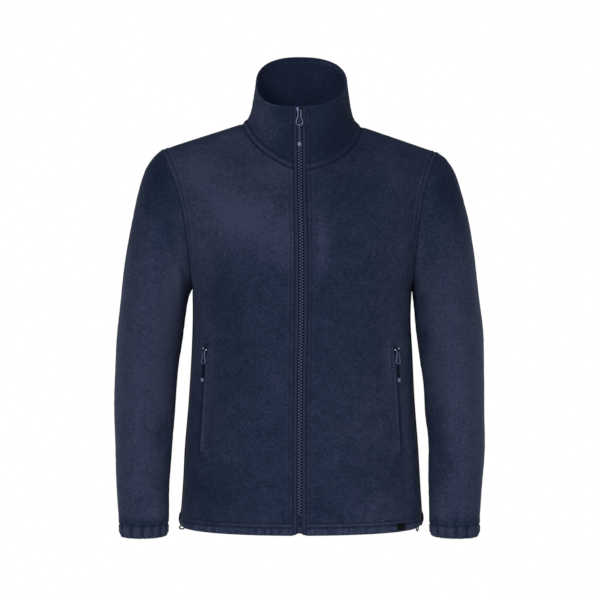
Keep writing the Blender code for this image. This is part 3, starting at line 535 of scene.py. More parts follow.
# %% Grids of sleeves, cuffs and collar
def sleeve_grid(side):
    """Ellipses between an outer and an inner line: their mean, plus half their distance times
    the cosine, and the depth times the sine; the armhole's inset fades out downwards."""
    rings = SLEEVES[side]
    knots = np.arange(len(rings["depth"]), dtype=float)
    at = knots[-1] * fine_ends(SLEEVE_ROWS)[:, None]
    turn = turns(SLEEVE_COLUMNS)[None]
    size = {name: curve(at, knots, values) for name, values in rings.items()}
    down, inset = drawn_in(side, turn)
    inset = inset * (1 - smooth_step(at, 0.0, INSET_RINGS))
    reach = size["outer_reach"] + (size["inner_reach"] - size["outer_reach"]) * down - inset
    height = size["outer_height"] + (size["inner_height"] - size["outer_height"]) * down
    return xyz(side, reach, size["forward"] - size["depth"] * np.sin(turn), height)


def gather_phase(turn):
    """Gathers around a cuff, uneven: a steady turn plus a slow sway."""
    return GATHERS * turn + 0.6 * np.sin(3 * turn)


def cuff_grid(side):
    """The sleeve's last ring carried down, scaled in, with a cosine wave for the gathers."""
    rings = SLEEVES[side]
    outer, inner = rings["outer_reach"][-1], rings["inner_reach"][-1]
    turn = turns(CUFF_COLUMNS)[None]
    drop = CUFF["drop"][-1] * fine_ends(CUFF_ROWS)[:, None]
    width, deep, gather = (curve(drop, CUFF["drop"], CUFF[k]) for k in ("width", "depth", "gather"))
    wave = gather * np.cos(gather_phase(turn))
    reach = (outer + inner) / 2 + ((outer - inner) / 2 * width + wave) * np.cos(turn)
    y = rings["forward"][-1] - (rings["depth"][-1] * deep + wave) * np.sin(turn)
    height = rings["outer_height"][-1] + 0.25 * (1 - np.cos(turn)) - drop
    return xyz(side, reach, y, height)


def mouth(side, face, base):
    """The collar's top edge: a superellipse in a plane that rises towards the back."""
    s, inner = SIDES[side], INNER[face]
    power = s["mouth_power"] if face == "front" else MOUTH_BACK_POWER
    share = (np.abs(base[..., 0]) - inner) / (s["neck_reach"] - inner)
    reach = inner + (s["mouth_reach"] - inner) * share
    out = MOUTH_DEPTH * rounded(reach / s["mouth_reach"], power)
    back = -out if face == "front" else out
    return xyz(side, reach, MOUTH_FORWARD + back, MOUTH_HEIGHT + MOUTH_RISE * back / MOUTH_DEPTH)


def collar_grid():
    """From the neck seam to the mouth: a slow and a fast power of the height add up to a
    flare at the foot. Columns run from the right zip edge round the back to the left."""
    bases, tops = [], []
    for side, face in (("right", "front"), ("right", "back"), ("left", "back"), ("left", "front")):
        base = HALVES[side, face][-1, : NECK_COLUMNS + 1]
        top = mouth(side, face, base)
        if (side, face) in (("right", "back"), ("left", "front")):
            base, top = base[::-1], top[::-1]
        bases.append(base if not bases else base[1:])
        tops.append(top if not tops else top[1:])
    base, top = np.concatenate(bases), np.concatenate(tops)
    up = fine_ends(COLLAR_ROWS)[:, None, None]
    f = COLLAR_FLARE
    out = f["slow_share"] * (1 - up) ** f["slow"] + (1 - f["slow_share"]) * (1 - up) ** f["fast"]
    points = top + (base - top) * out
    points[..., 2] = base[:, 2] + (top[:, 2] - base[:, 2]) * up[..., 0]
    return points


COLLAR = collar_grid()
print("collar grid", COLLAR.shape[:2])

# %% [markdown]
# ## From a surface to cloth
# Cloth has two faces and edges. A folded edge is round, so both faces roll together there over
# half the thickness. A sewn edge sinks, because the thread pulls it into the seam. Every line
# of topstitching lies in a shallow channel. All of this is a height above the plain surface,
# measured from how far each point lies from a seam or a stitch line, and it is added along the
# surface's normal.


# %% Lines and distances on a surface
def normals(points, around, outward):
    """Unit normals of a grid: its step along a column times its step across, turned outward."""
    padded = np.concatenate([points[:, -1:], points, points[:, :1]], 1) if around else points
    across = np.gradient(padded, axis=1)
    across = across[:, 1:-1] if around else across
    return unit(np.cross(across, np.gradient(points, axis=0))) * outward


def resample(line, spacing):
    """Points at even steps along a line, found on its running length."""
    length = np.concatenate([[0], np.cumsum(np.linalg.norm(np.diff(line, axis=0), axis=1))])
    count = max(int(length[-1] / spacing), 2)
    at = np.linspace(0, length[-1], count + 1)
    return np.stack([np.interp(at, length, line[:, k]) for k in range(3)], axis=-1)


def nearest(points, line):
    """Distance from each point to a line, and the share along the line where it is nearest:
    |p|^2 + |q|^2 - 2 p.q, least over the line's points q."""
    flat = points.reshape(-1, points.shape[-1])
    square = (flat**2).sum(1)[:, None] + (line**2).sum(1)[None] - 2 * flat @ line.T
    at = square.argmin(1)
    near = np.sqrt(np.maximum(square[np.arange(len(flat)), at], 0.0))
    return near.reshape(points.shape[:-1]), (at / (len(line) - 1)).reshape(points.shape[:-1])


def distance(points, line, spacing=1.2):
    """Distance from each point of a grid to a line."""
    return nearest(points, resample(line, spacing))[0]


def closed(ring_points):
    """A ring with its first point again at its end."""
    return np.concatenate([ring_points, ring_points[:1]])


def beside(line, normal, inside, offset):
    """A line moved in the surface towards the inside: along normal times its own direction."""
    side = unit(np.cross(normal, np.gradient(line, axis=0)))
    side = side * np.sign((side * (inside - line)).sum(-1, keepdims=True))
    return line + offset * side


def swell(points, seed, size):
    """Broad unevenness between about -1 and 1: a mean of sines in fixed random directions."""
    dice = np.random.default_rng(seed)
    ways = unit(dice.normal(size=(7, 3))) * 2 * PI / (size * dice.uniform(0.7, 1.5, (7, 1)))
    return np.sin(points @ ways.T + dice.uniform(0, 2 * PI, 7)).mean(-1) * 2


print("a bell at half its width:", round(float(bell(0.5, 1.0)), 3))

# %% [markdown]
# ## Seams that close
# Two pieces that meet at an angle would leave a crack, if each sank along its own normal. A
# seam has one direction of its own: the sum of both pieces' normals. Near the seam each
# piece's normals turn into it, so both walls end on the same line, as a mitred corner does.

# %% Normals shared by sewn pieces
TURNED = 4.0  # mm over which normals turn
SEAM_SINK, SEAM_WIDTH = 1.5, 1.4
NECK_SPANS = {
    ("right", "front"): np.arange(NECK_COLUMNS + 1),
    ("right", "back"): 2 * NECK_COLUMNS - np.arange(NECK_COLUMNS + 1),
    ("left", "back"): 2 * NECK_COLUMNS + np.arange(NECK_COLUMNS + 1),
    ("left", "front"): 4 * NECK_COLUMNS - np.arange(NECK_COLUMNS + 1),
}


def half_normals(side, face):
    """A half's own normals; on the side seam and on the shoulder's ridge they have no y part."""
    outward = SIDES[side]["sign"] * (1 if face == "front" else -1)
    normal = normals(HALVES[side, face], False, outward)
    normal[: LOW_ROWS + 1, -1, 1] = 0.0
    normal[-1, NECK_COLUMNS:, 1] = 0.0
    return unit(normal)


def neck_normals():
    """Along the collar's foot: its normal plus the body's, made unit."""
    body_side = np.zeros((4 * NECK_COLUMNS + 1, 3))
    for key, span in NECK_SPANS.items():
        body_side[span] += NORMALS[key][-1, : NECK_COLUMNS + 1]
    return unit(normals(COLLAR, False, -1)[0] + unit(body_side))


def around_arm(turn, known, values):
    """Vectors known at some turns of an armhole, which closes on itself, read off at others."""
    order = np.argsort(known, kind="stable")
    parts = [np.interp(turn, known[order], values[order, k], period=2 * PI) for k in range(3)]
    return np.stack(parts, axis=-1)


def arm_normals(side):
    """Around the sleeve's first ring: its normal plus the body's at the same turn, made unit."""
    body_side = np.concatenate([NORMALS[side, face][LOW_ROWS:, -1] for face in ("front", "back")])
    known = np.concatenate([ARM_TURN, 2 * PI - ARM_TURN])
    own = normals(SLEEVE_GRIDS[side], True, SIDES[side]["sign"])[0]
    return unit(own + unit(around_arm(SLEEVE_TURN, known, body_side)))


def towards(points, normal, line, shared):
    """normal (1 - b) + shared b, made unit, with b the bell of the distance from the seam."""
    away, share = nearest(points, line)
    at = np.rint(share * (len(line) - 1)).astype(int)
    near = bell(away, TURNED)[..., None]
    return unit(normal * (1 - near) + shared[at] * near)


def sewn_normals(side, face, points):
    """A half's normals, turned at its neck and its armhole."""
    neck = NECK_NORMALS[NECK_SPANS[side, face]]
    turn = ARM_TURN if face == "front" else 2 * PI - ARM_TURN
    arm = around_arm(turn, SLEEVE_TURN, ARM_NORMALS[side])
    normal = towards(points, NORMALS[side, face], points[-1, : NECK_COLUMNS + 1], neck)
    return towards(points, normal, points[LOW_ROWS:, -1], arm)


SLEEVE_TURN = turns(SLEEVE_COLUMNS)
SLEEVE_GRIDS = {side: sleeve_grid(side) for side in SIDES}
NORMALS = {key: half_normals(*key) for key in HALVES}
NECK_NORMALS = neck_normals()
ARM_NORMALS = {side: arm_normals(side) for side in SIDES}
print("normals on the neck seam:", NECK_NORMALS.shape[0], "around an armhole:", SLEEVE_COLUMNS)


# %% A cloth shell
def fold_sink(away, layers):
    """How far each face rolls in at a folded edge: r - sqrt(r^2 - (r - d)^2), r half the cloth."""
    half = 0.47 * layers
    inside = np.clip(half - away, 0.0, half)
    return half - np.sqrt(half**2 - inside**2)


def grid_faces(number):
    """Quads between neighbouring rows and columns of a grid of corner numbers."""
    corners = (number[:-1, :-1], number[:-1, 1:], number[1:, 1:], number[1:, :-1])
    return np.stack(corners, -1).reshape(-1, 4)


def wall(outer, inner):
    """A wall's points: the outer grid's, then the inner grid's."""
    return np.concatenate([outer.reshape(-1, 3), inner.reshape(-1, 3)])


def quads_of(rows, columns, around=False):
    """Corner numbers of a closed wall's faces: outer grid, inner grid and the rims between."""
    number = np.arange(rows * columns).reshape(rows, columns)
    if around:
        number = np.concatenate([number, number[:, :1]], axis=1)
    outside = grid_faces(number)
    loops = [number[0], number[-1][::-1]]
    if not around:
        loops += [number[::-1, 0], number[:, -1]]
    step = rows * columns
    rim = [np.stack([edge[1:], edge[:-1], edge[:-1] + step, edge[1:] + step], -1) for edge in loops]
    return np.concatenate([outside, outside[:, ::-1] + step, *rim])


def mesh_object(name, points, quads, material, flip=False, nap=None):
    """An object from points in millimetres and quads, its place in its mesh, shaded smooth; the
    last argument, painted light and shade for each point, is kept as an attribute for the material."""
    mesh = bpy.data.meshes.new(name)
    quads = quads[:, ::-1] if flip else quads
    mesh.vertices.add(len(points))
    mesh.vertices.foreach_set("co", (points * MM).astype(np.float32).ravel())
    mesh.loops.add(quads.size)
    mesh.loops.foreach_set("vertex_index", quads.astype(np.int32).ravel())
    mesh.polygons.add(len(quads))
    mesh.polygons.foreach_set("loop_start", np.arange(0, quads.size, 4, dtype=np.int32))
    mesh.update(calc_edges=True)
    if nap is not None:
        level = mesh.attributes.new("nap", "FLOAT", "POINT")
        level.data.foreach_set("value", nap.astype(np.float32))
    mesh.shade_smooth()
    mesh.materials.append(material)
    made = linked(name, mesh)
    return made


def shell(name, points, normal, layers, relief, folded, around=False):
    """A cloth wall: the outer face is the surface raised by the relief, the inner one lies a
    thickness behind it, and both roll together near folded edges. Its painted light lies on the
    crests of the fine relief, its painted shade in the grooves and all over the inside."""
    rows, columns = points.shape[:2]
    sink, broad = fold_sink(folded, layers), relief.get("broad", 0.0)
    outer = points + normal * (broad + relief["fine"] - sink)[..., None]
    inner = points + normal * (broad - layers + sink)[..., None]
    quads = quads_of(rows, columns, around)
    middle = outer.reshape(-1, 3)[quads[: (rows - 1) * columns // 2]]
    facing = np.cross(middle[:, 1] - middle[:, 0], middle[:, 2] - middle[:, 1])
    out = (facing * normal.reshape(-1, 3)[quads[: len(middle), 0]]).sum() > 0
    # Painted light on the relief's crests and painted shade in its grooves and inside.
    relief_light = np.clip(relief["fine"], *PAINTED_LIGHT_RELIEF_LIMITS) * PAINTED_LIGHT_PER_RELIEF + relief.get("nap", 0.0)
    inside = np.full((rows, columns), PAINTED_SHADE_INSIDE) + relief.get("inside", 0.0)
    nap = np.concatenate([(lit_and_shaded(name, points, normal) + relief_light).ravel(), inside.ravel()])
    return mesh_object(
        f"cloth_{name}", wall(outer, inner), quads, FLEECE_OUT, not out, nap
    ), outer


print("faces of a wall on a 3 by 4 grid:", len(quads_of(3, 4)))

# %% [markdown]
# ## Fleece
# Fleece is knitted polyester whose face is brushed into a short nap. It has no gloss and its nap
# scatters light at grazing angles, so the material is fully rough and has some sheen. Its navy goes
# through three tones, a dark one for painted shade up to a lighter, greyer one for painted light,
# by a number: patches of painted light and shade and painted light on the relief's crests, with
# painted shade in its grooves and inside, all kept on the mesh, plus noise: clumps of nap of a few
# millimetres and blotches of a few centimetres.

# %% Patches of painted light and shade
# Painted shade inside every piece, and painted light and shade on its fine relief.
PAINTED_SHADE_INSIDE = -0.6
PAINTED_LIGHT_PER_RELIEF = 0.42  # painted light on crests and painted shade in grooves, per millimetre of fine relief
PAINTED_LIGHT_RELIEF_LIMITS = (-2.2, 1.6)  # mm of relief beyond which it changes no more
# Painted light on sleeves and cuffs and painted shade on the collar, by kind of piece.
PAINTED_LIGHT_OF_PIECE = {"cuff": 0.55, "sleeve": 0.25, "front": 0.0, "back": 0.0, "collar": -0.1}
# Patches of painted light where light falls on the jacket and painted shade where shade lies.
PAINTED_LIGHT_PATCHES = {  # x, z, wide, high, turned, strength, and -1 for the front or 1 for the back
    "sleeve_right": [
        (-240, -112, 30, 62, -12, -1.25, -1), (-224, -206, 16, 50, -6, -0.5, -1),
        (-268, -480, 54, 290, 0, 0.62, -1), (-306, -440, 12, 190, 0, 0.35, -1),
        (-206, -316, 20, 66, 0, 1.5, -1), (-222, -450, 22, 150, 0, 0.6, -1),
        (-290, -196, 14, 46, 0, -0.45, -1), (-236, -462, 12, 24, 0, 0.5, -1),
        (-236, -545, 12, 34, 0, -0.55, -1), (-240, -680, 12, 24, 0, 0.6, -1),
        (-262, -460, 60, 240, 0, 0.6, 1), (-236, -130, 34, 60, 0, -0.9, 1),
    ],
    "sleeve_left": [
        (252, -134, 32, 64, 14, -1.15, -1), (226, -230, 20, 62, 6, -0.4, -1),
        (270, -480, 54, 290, 0, 0.72, -1), (308, -420, 12, 190, 0, 0.5, -1),
        (226, -400, 16, 120, 0, 0.6, -1), (246, -590, 18, 46, 0, -0.6, -1),
        (220, -524, 13, 26, 0, -0.5, -1), (204, -286, 14, 24, 0, 0.9, -1),
        (214, -392, 10, 26, 0, -0.8, -1), (233, -535, 12, 34, 0, -0.6, -1),
        (238, -680, 12, 24, 0, 0.6, -1),
        (264, -460, 60, 240, 0, 0.6, 1), (240, -140, 34, 60, 0, -0.9, 1),
    ],
    "front_right": [
        (-92, -186, 66, 40, -22, 0.9, -1), (-176, -96, 40, 34, 0, 0.85, -1),
        (-110, -160, 96, 84, 0, 0.5, -1),
        (-28, -232, 22, 40, 0, 0.6, -1), (-146, -316, 44, 44, 0, -0.5, -1),
        (-146, -640, 50, 38, 0, -0.55, -1), (-34, -446, 18, 46, 0, 0.2, -1),
        (-172, -330, 30, 110, 0, 0.85, -1), (-110, -420, 40, 60, 0, -0.25, -1),
        (-110, -44, 46, 26, 0, 0.65, -1), (-42, -98, 48, 38, 0, 0.6, -1),
        (-199, -570, 7, 130, -3, -1.4, -1), (-192, -340, 9, 40, 0, 0.5, -1),
    ],
    "front_left": [
        (168, -108, 34, 26, 0, 0.1, -1), (36, -222, 11, 52, 0, 0.9, -1),
        (90, -142, 40, 34, 0, -0.4, -1), (66, -316, 44, 46, 0, -0.1, -1),
        (158, -408, 22, 46, 0, 0.35, -1), (98, -530, 44, 66, 0, 0.3, -1),
        (48, -668, 28, 16, 0, -0.5, -1), (176, -390, 32, 190, 0, 0.75, -1),
        (124, -678, 60, 34, 0, 0.5, -1), (92, -50, 30, 26, 0, -0.3, -1),
        (202, -520, 8, 170, 3, -2.0, -1), (186, -570, 12, 110, 3, 0.45, -1),
    ],
    "back": [
        (-90, -190, 70, 46, 18, 0.9, 1), (112, -330, 56, 74, 0, -0.5, 1),
        (20, -560, 90, 44, -10, 0.5, 1), (-120, -470, 50, 60, 0, -0.4, 1),
    ],
    "collar": [
        (-60, -16, 20, 34, 0, 0.8, -1), (58, -54, 44, 34, 0, -1.0, -1),
        (84, 6, 20, 52, 0, -1.0, -1), (44, 14, 30, 24, 0, -0.5, -1),
        (-26, 2, 20, 20, 0, -0.7, -1),
        (-22, -60, 14, 26, 0, -0.6, -1), (0, 60, 60, 30, 0, 0.4, 1),
    ],
}


def lit_and_shaded(name, points, normal):
    """Painted light and shade: the piece's level plus strength exp(-(u / wide)^2 - (v / high)^2)
    over patches, u and v being the turned offsets from a patch's middle, seen from the front or
    the back."""
    total = np.full(points.shape[:2], PAINTED_LIGHT_OF_PIECE[name.split("_")[0]])
    for x_at, z_at, wide, high, turned, strength, face in PAINTED_LIGHT_PATCHES.get(name, ()):
        turn = math.radians(turned)
        x, z = points[..., 0] - x_at, points[..., 2] - z_at
        u = (x * math.cos(turn) + z * math.sin(turn)) / wide
        v = (z * math.cos(turn) - x * math.sin(turn)) / high
        side = smooth_step(normal[..., 1] * face, -0.3, 0.3)
        total += strength * np.exp(-(u**2) - v**2) * side
    return total


print("brushed patches:", sum(map(len, PAINTED_LIGHT_PATCHES.values())))

# %% Fleece material
NAP_CLUMP = 4.0  # mm across; real clumps are about 2, too fine to be drawn at this size
NAP_BLOTCH = 24.0
NAP_DEPTH = 0.9  # mm
PAINTED_LIGHT_GAIN = 0.4  # how far along the ramp a painted light of 1 goes
SHADED_TO_LIT_NAVIES = ("141D32", "1D2840", "3B4158")  # painted shade, even navy, painted light


def fleece_material(name):
    """Brushed fleece: matt, slightly sheened, from a dark navy in painted shade to a lighter, greyer
    navy in painted light. The clumps' own grain is multiplied in after the ramp, so it shows on
    the darkest navy too."""
    made, tree, shader = new_material(
        name, Roughness=0.95, Specular_IOR_Level=0.1, Sheen_Weight=0.06, Sheen_Roughness=0.5,
        Sheen_Tint=linear("9298BC"),
    )
    clumps, blotches = (
        texture(tree, "ShaderNodeTexNoise", Scale=1000 / size, Detail=4.0, Roughness=rough)
        for size, rough in ((NAP_CLUMP, 0.62), (NAP_BLOTCH, 0.6))
    )
    fine, broad = stretched(tree, clumps, -0.2, 0.2), stretched(tree, blotches, 0.4, 0.6)
    # The painted light and shade kept on the mesh moves the navy along the ramp.
    nap = node(tree, "ShaderNodeAttribute", {"attribute_name": "nap"}).outputs["Fac"]
    level = maths(tree, "MULTIPLY_ADD", nap, PAINTED_LIGHT_GAIN, maths(tree, "ADD", fine, broad))
    grained = node(
        tree, "ShaderNodeVectorMath", {"operation": "SCALE"},
        Vector=ramped(tree, level, SHADED_TO_LIT_NAVIES, "B_SPLINE"), Scale=stretched(tree, clumps, 0.9, 1.1),
    )
    tree.links.new(grained.outputs["Vector"], shader.inputs["Base Color"])
    bumped(tree, shader, clumps, 1.0, NAP_DEPTH)
    return made


FLEECE_OUT = fleece_material("brushed_fleece_navy")
print("fleece clumps", NAP_CLUMP, "mm, blotches", NAP_BLOTCH, "mm")

# %% [markdown]
# ## Creases
# Worn cloth bends where the body bends: it drags from the armpit, dents at the elbow and hangs
# in soft troughs beside the zip. Each crease here is a curve with a width and a depth, and it
# fades out towards both of its ends. Some lie on the back and on the far side of the sleeves,
# where such a jacket has them too.

# %% Creases
CREASES = {  # x and z of the start, the middle and the end, width, depth, and front or back
    "sleeve_right": [
        (-228, -96, -212, -170, -197, -250, 10, 3.6, -1),
        (-214, -222, -196, -262, -186, -300, 8, 0.8, -1),
        (-232, -262, -212, -292, -199, -322, 9, 0.8, -1),
        (-199, -350, -214, -430, -220, -560, 15, 1.6, -1),
        (-213, -520, -230, -548, -246, -560, 10, 3.0, -1),
        (-218, -640, -234, -630, -250, -626, 7, 2.0, -1),
        (-290, -220, -300, -300, -304, -400, 16, 1.6, -1),
        (-252, -590, -262, -640, -258, -690, 12, 1.5, -1),
        (-305, -430, -270, -452, -222, -448, 13, 3.4, 1),
        (-300, -480, -262, -500, -222, -492, 12, 2.8, 1),
        (-226, -110, -214, -190, -204, -270, 12, 3.0, 1),
        (-280, -560, -250, -600, -232, -650, 12, 1.8, 1),
        (-211, -250, -205, -290, -208, -336, 7, -3.4, -1),
    ],
    "sleeve_left": [
        (228, -98, 213, -170, 203, -250, 10, 3.6, -1),
        (216, -230, 204, -265, 194, -298, 8, 2.4, -1),
        (238, -268, 214, -300, 203, -330, 9, 2.4, -1),
        (204, -352, 216, -430, 221, -560, 15, 1.8, -1),
        (214, -478, 228, -505, 246, -530, 11, 3.4, -1),
        (218, -572, 230, -566, 242, -560, 7, 1.8, -1),
        (226, -626, 240, -636, 256, -648, 8, 2.2, -1),
        (292, -240, 302, -310, 306, -390, 16, 1.6, -1),
        (306, -420, 268, -446, 224, -440, 13, 3.2, 1),
        (300, -476, 262, -494, 224, -486, 12, 2.6, 1),
        (228, -114, 216, -190, 208, -272, 12, 3.0, 1),
        (282, -556, 252, -596, 234, -648, 12, 1.8, 1),
    ],
    "front_right": [
        (-158, -262, -100, -268, -58, -236, 22, 2.6, -1),
        (-172, -318, -174, -360, -170, -410, 10, 2.0, -1),
        (-68, -574, -64, -604, -60, -640, 9, 1.3, -1),
        (-30, -320, -27, -420, -26, -520, 10, 1.2, -1),
        (-92, -56, -76, -92, -58, -124, 12, 1.6, -1),
        (-176, -150, -160, -200, -150, -250, 14, 1.8, -1),
        (-120, -430, -96, -480, -90, -540, 22, 1.8, -1),
        (-150, -640, -120, -668, -80, -676, 12, 1.3, -1),
    ],
    "front_left": [
        (160, -250, 112, -282, 60, -276, 22, 2.4, -1),
        (180, -318, 178, -360, 174, -404, 10, 2.0, -1), (70, -470, 84, -530, 80, -600, 20, 1.6, -1),
        (28, -300, 26, -400, 27, -500, 10, 1.0, -1), (98, -62, 84, -96, 66, -126, 12, 1.4, -1),
        (184, -150, 170, -204, 160, -250, 14, 1.8, -1), (52, -178, 70, -220, 58, -262, 16, 1.3, -1),
        (90, -650, 130, -672, 160, -668, 12, 1.3, -1),
    ],
    "back": [
        (-190, -180, -150, -260, -120, -380, 22, 3.0, 1),
        (188, -176, 152, -256, 128, -372, 22, 3.0, 1),
        (-150, -470, -40, -500, 70, -486, 24, 3.0, 1), (-60, -560, 40, -580, 150, -552, 22, 2.4, 1),
        (-80, -44, 0, -66, 84, -46, 16, 2.2, 1), (-176, -330, -150, -400, -150, -470, 14, 2.0, 1),
        (178, -340, 156, -410, 152, -480, 14, 2.0, 1),
        (-110, -610, -104, -650, -112, -690, 14, 1.6, 1),
        (96, -600, 104, -650, 98, -692, 14, 1.6, 1), (0, -120, 4, -220, -2, -340, 26, 1.6, 1),
    ],
    "collar": [
        (-36, -80, -26, -88, -14, -96, 3.0, 1.2, -1), (-62, -58, -48, -68, -34, -74, 5.0, 1.2, -1),
        (-80, -20, -74, 10, -70, 40, 9.0, 1.3, -1), (74, -30, 62, -44, 40, -58, 8.0, 1.0, -1),
        (88, -14, 80, 14, 78, 40, 8.0, 1.2, -1), (-60, 10, -10, 22, 50, 14, 14.0, 1.6, 1),
    ],
}


def creased(name, points, normal):
    """Sum over the creases of -depth bell(distance / width) sin(pi share)^0.7, seen from the
    front or the back, and only on the side that faces that way. A depth below 0 is a ridge."""
    total = np.zeros(points.shape[:2])
    t = np.linspace(0, 1, 25)[:, None]
    for *bends, width, deep, face in CREASES[name]:
        start, middle, end = np.array(bends, float).reshape(3, 2)
        bend = 2 * middle - (start + end) / 2
        line = (1 - t) ** 2 * start + 2 * t * (1 - t) * bend + t**2 * end
        away, share = nearest(points[..., [0, 2]], line)
        side = smooth_step(normal[..., 1] * face, -0.05, 0.45)
        fade = np.sin(PI * np.clip(share, 0.02, 0.98)) ** 0.7
        total -= deep * bell(away, width) * fade * side
    return total


print("creases in all:", sum(map(len, CREASES.values())))

# %% [markdown]
# ## The fronts and the back
# Each front is cut with a folded edge beside the zip, and the back is one piece. The hem is
# turned up and held by two lines of stitching, so the strip under them is thick and puckered,
# and a soft ridge stands between them. Topstitching follows the armhole on the body's side and
# another line follows the zip.

# %% Stitch distances and soft form
ARMHOLE_STITCH = 8.0
ZIP_STITCH = 6.0
HEM_STITCHES = (13.5, 20.0)  # mm above the hem's edge
CALM = 14.0  # mm beside a seam where the cloth lies calm
PUCKER = (14.0, 26.0)  # mm from wave to wave, on the hem and above it
STITCH_LINES = []  # each a cloth object and a line on it
WELT_WIDTH = 7.0
POCKETS = {
    "right": {"top": (156.0, -397.0), "bottom": (168.0, -579.0)},
    "left": {"top": (160.5, -397.0), "bottom": (170.5, -579.0)},
}


def soft_form(name, points, normal, away, seed, broad, fine):
    """Broad form: creases and swells. Fine form: small swells. Both fade out within CALM of a
    seam; broad and fine each give a height and a size."""
    calm = np.minimum(1.0, away / CALM)
    large = creased(name, points, normal) + broad[0] * swell(points, seed, broad[1])
    return large * calm, fine[0] * swell(points, seed + 1, fine[1]) * calm


def hem_layers(height):
    """The fleece's thickness, and the doubled hem's below the turn."""
    above = smooth_step(height, HEM_HEIGHT + HEM_TURN - 3, HEM_HEIGHT + HEM_TURN + 3)
    return HEM_LAYERS + (FLEECE - HEM_LAYERS) * above


def pucker(along, seed, period):
    """Small uneven waves along a seam: two sines of unlike period, their height wandering."""
    a, b, c = np.random.default_rng(seed).uniform(0, 2 * PI, 3)
    wander = 0.6 + 0.4 * np.sin(along * 2 * PI / (period * 6.3) + c)
    return wander * (
        0.6 * np.sin(along * 2 * PI / period + a + np.sin(along / period / 2.7))
        + 0.4 * np.sin(along * 2 * PI / (0.62 * period) + b)
    )


def hem_relief(points, seed):
    """Fine form and painted light of the hem, by height above its edge: a puckered strip, two
    grooves, a ridge between them that fades towards the sides, and slow waves above. Painted
    light lies on the strip, most on its puckers' crests, and on the ridge."""
    up = points[..., 2] - HEM_HEIGHT
    along = points[..., 0] * 1.15 + 0.6 * points[..., 1]
    wavy = pucker(along, seed, PUCKER[0])
    strip = smooth_step(up, 1.0, 4.0) * (1 - smooth_step(up, 10.5, 13.0))
    above = smooth_step(up, 20.0, 24.0) * (1 - smooth_step(up, 24.0, 60.0))
    middle = 1 - 0.6 * smooth_step(np.abs(points[..., 0]), 70.0, 150.0)
    between = bell(up - sum(HEM_STITCHES) / 2, 1.8) * middle
    fine = strip * (1.5 * wavy + 0.4) + 0.6 * between
    fine -= 1.3 * bell(up - HEM_STITCHES[0], 1.4) + 1.0 * bell(up - HEM_STITCHES[1], 1.3)
    fine += above * 0.7 * pucker(along, seed + 1, PUCKER[1])
    return fine, (0.4 + 0.38 * wavy) * (1 - smooth_step(up, 9.0, 14.0)) + 0.8 * between


def body_relief(name, points, normal, seams, stitches, seed):
    """Soft form, sunk seams, a channel under every stitch line and a raised band beside it, and
    the hem. Painted light lies on the armholes' raised bands and on the hem's strip and ridge."""
    coarse = np.min([distance(points, seam, 4.0) for seam in seams], axis=0)
    broad, fine = soft_form(name, points, normal, coarse, seed, (0.9, 150.0), (0.22, 16.0))
    fine -= SEAM_SINK * bell(np.min([distance(points, seam) for seam in seams], axis=0), SEAM_WIDTH)
    hem, nap = hem_relief(points, seed + 2)
    fine += hem
    for line, band, deep in stitches:
        away = distance(points, line)
        fine += deep * (0.8 * bell(away - band, 1.9) - bell(away, 1.5))
        # painted light on the armholes' raised bands
        nap += 0.3 * bell(away - band, 2.2) * (band > ZIP_STITCH / 2)
    return {"broad": broad, "fine": fine, "nap": nap}


print("cloth at the hem and above it:", [hem_layers(HEM_HEIGHT + up) for up in (0.0, 99.0)], "mm")


# %% Pocket slits
def slit_at(side, share, aside=0.0):
    """Points of the front a share of the way down a pocket's straight slit, or aside of it."""
    top, bottom = (np.array(POCKETS[side][end]) for end in ("top", "bottom"))
    reach, height = (top[k] + (bottom[k] - top[k]) * share for k in (0, 1))
    return front_at(side, reach + aside, height)


def pocket_relief(side, points):
    """The slit: a sunk line for its zip and a soft dip around it. Painted light lies along the
    welt, on the zip's side, and a painted shadow lies beside the slit on the other."""
    slit = slit_at(side, np.linspace(0, 1, 160))
    around = slit_at(side, np.linspace(-0.02, 1.04, 60))
    lit_line, painted_shade = (slit_at(side, np.linspace(0, 1, 60), aside) for aside in (-WELT_WIDTH, 3.0))
    fine = -1.8 * bell(distance(points, slit), 1.8) - 0.5 * bell(distance(points, around, 3.0), 14.0)
    nap = 0.5 * bell(distance(points, lit_line, 3.0), WELT_WIDTH)
    return fine, nap - 0.9 * bell(distance(points, painted_shade, 3.0), 2.4)


for side in SIDES:
    down = slit_at(side, np.linspace(0, 1, 160))
    print(side, "slit", round(np.linalg.norm(np.diff(down, axis=0), axis=1).sum()), "mm long")


# %% Fronts and back
def stitch_along_armhole(points, normal):
    """The armhole's topstitch on one half: its edge moved in by the stitch's distance."""
    edge = points[LOW_ROWS:, -1]
    return beside(edge, normal[LOW_ROWS:, -1], points[LOW_ROWS:, -6], ARMHOLE_STITCH)[2:-1]


def stitched(made, lines, points):
    """Keeps a piece's stitch lines and the hem's two, read off the grid's rows, for later."""
    hem = [points[int(np.argmin(np.abs(HEM_STEPS - up)))] for up in HEM_STITCHES]
    STITCH_LINES.extend([(made, line) for line in lines + hem])
    return made


def make_front(side, seed):
    """One front: its folded zip edge and hem, its seams, its stitch lines and its pocket."""
    name = f"front_{side}"
    points = swayed(HALVES[side, "front"])
    normal = sewn_normals(side, "front", points)
    arm = stitch_along_armhole(points, NORMALS[side, "front"])
    beside_zip = beside(points[:, 0], normal[:, 0], points[:, 8], ZIP_STITCH)
    stitches = [(arm, ARMHOLE_STITCH / 2, 1.3), (beside_zip, ZIP_STITCH / 2, 0.7)]
    seams = [points[:, -1], points[-1]]
    relief = body_relief(name, points, normal, seams, stitches, seed)
    fine, nap = pocket_relief(side, points)
    relief["fine"] += fine
    relief["nap"] += nap
    folded = np.minimum(distance(points, points[:, 0]), points[..., 2] - HEM_HEIGHT)
    made, _ = shell(name, points, normal, hem_layers(points[..., 2]), relief, folded)
    return stitched(made, [arm, beside_zip], points)


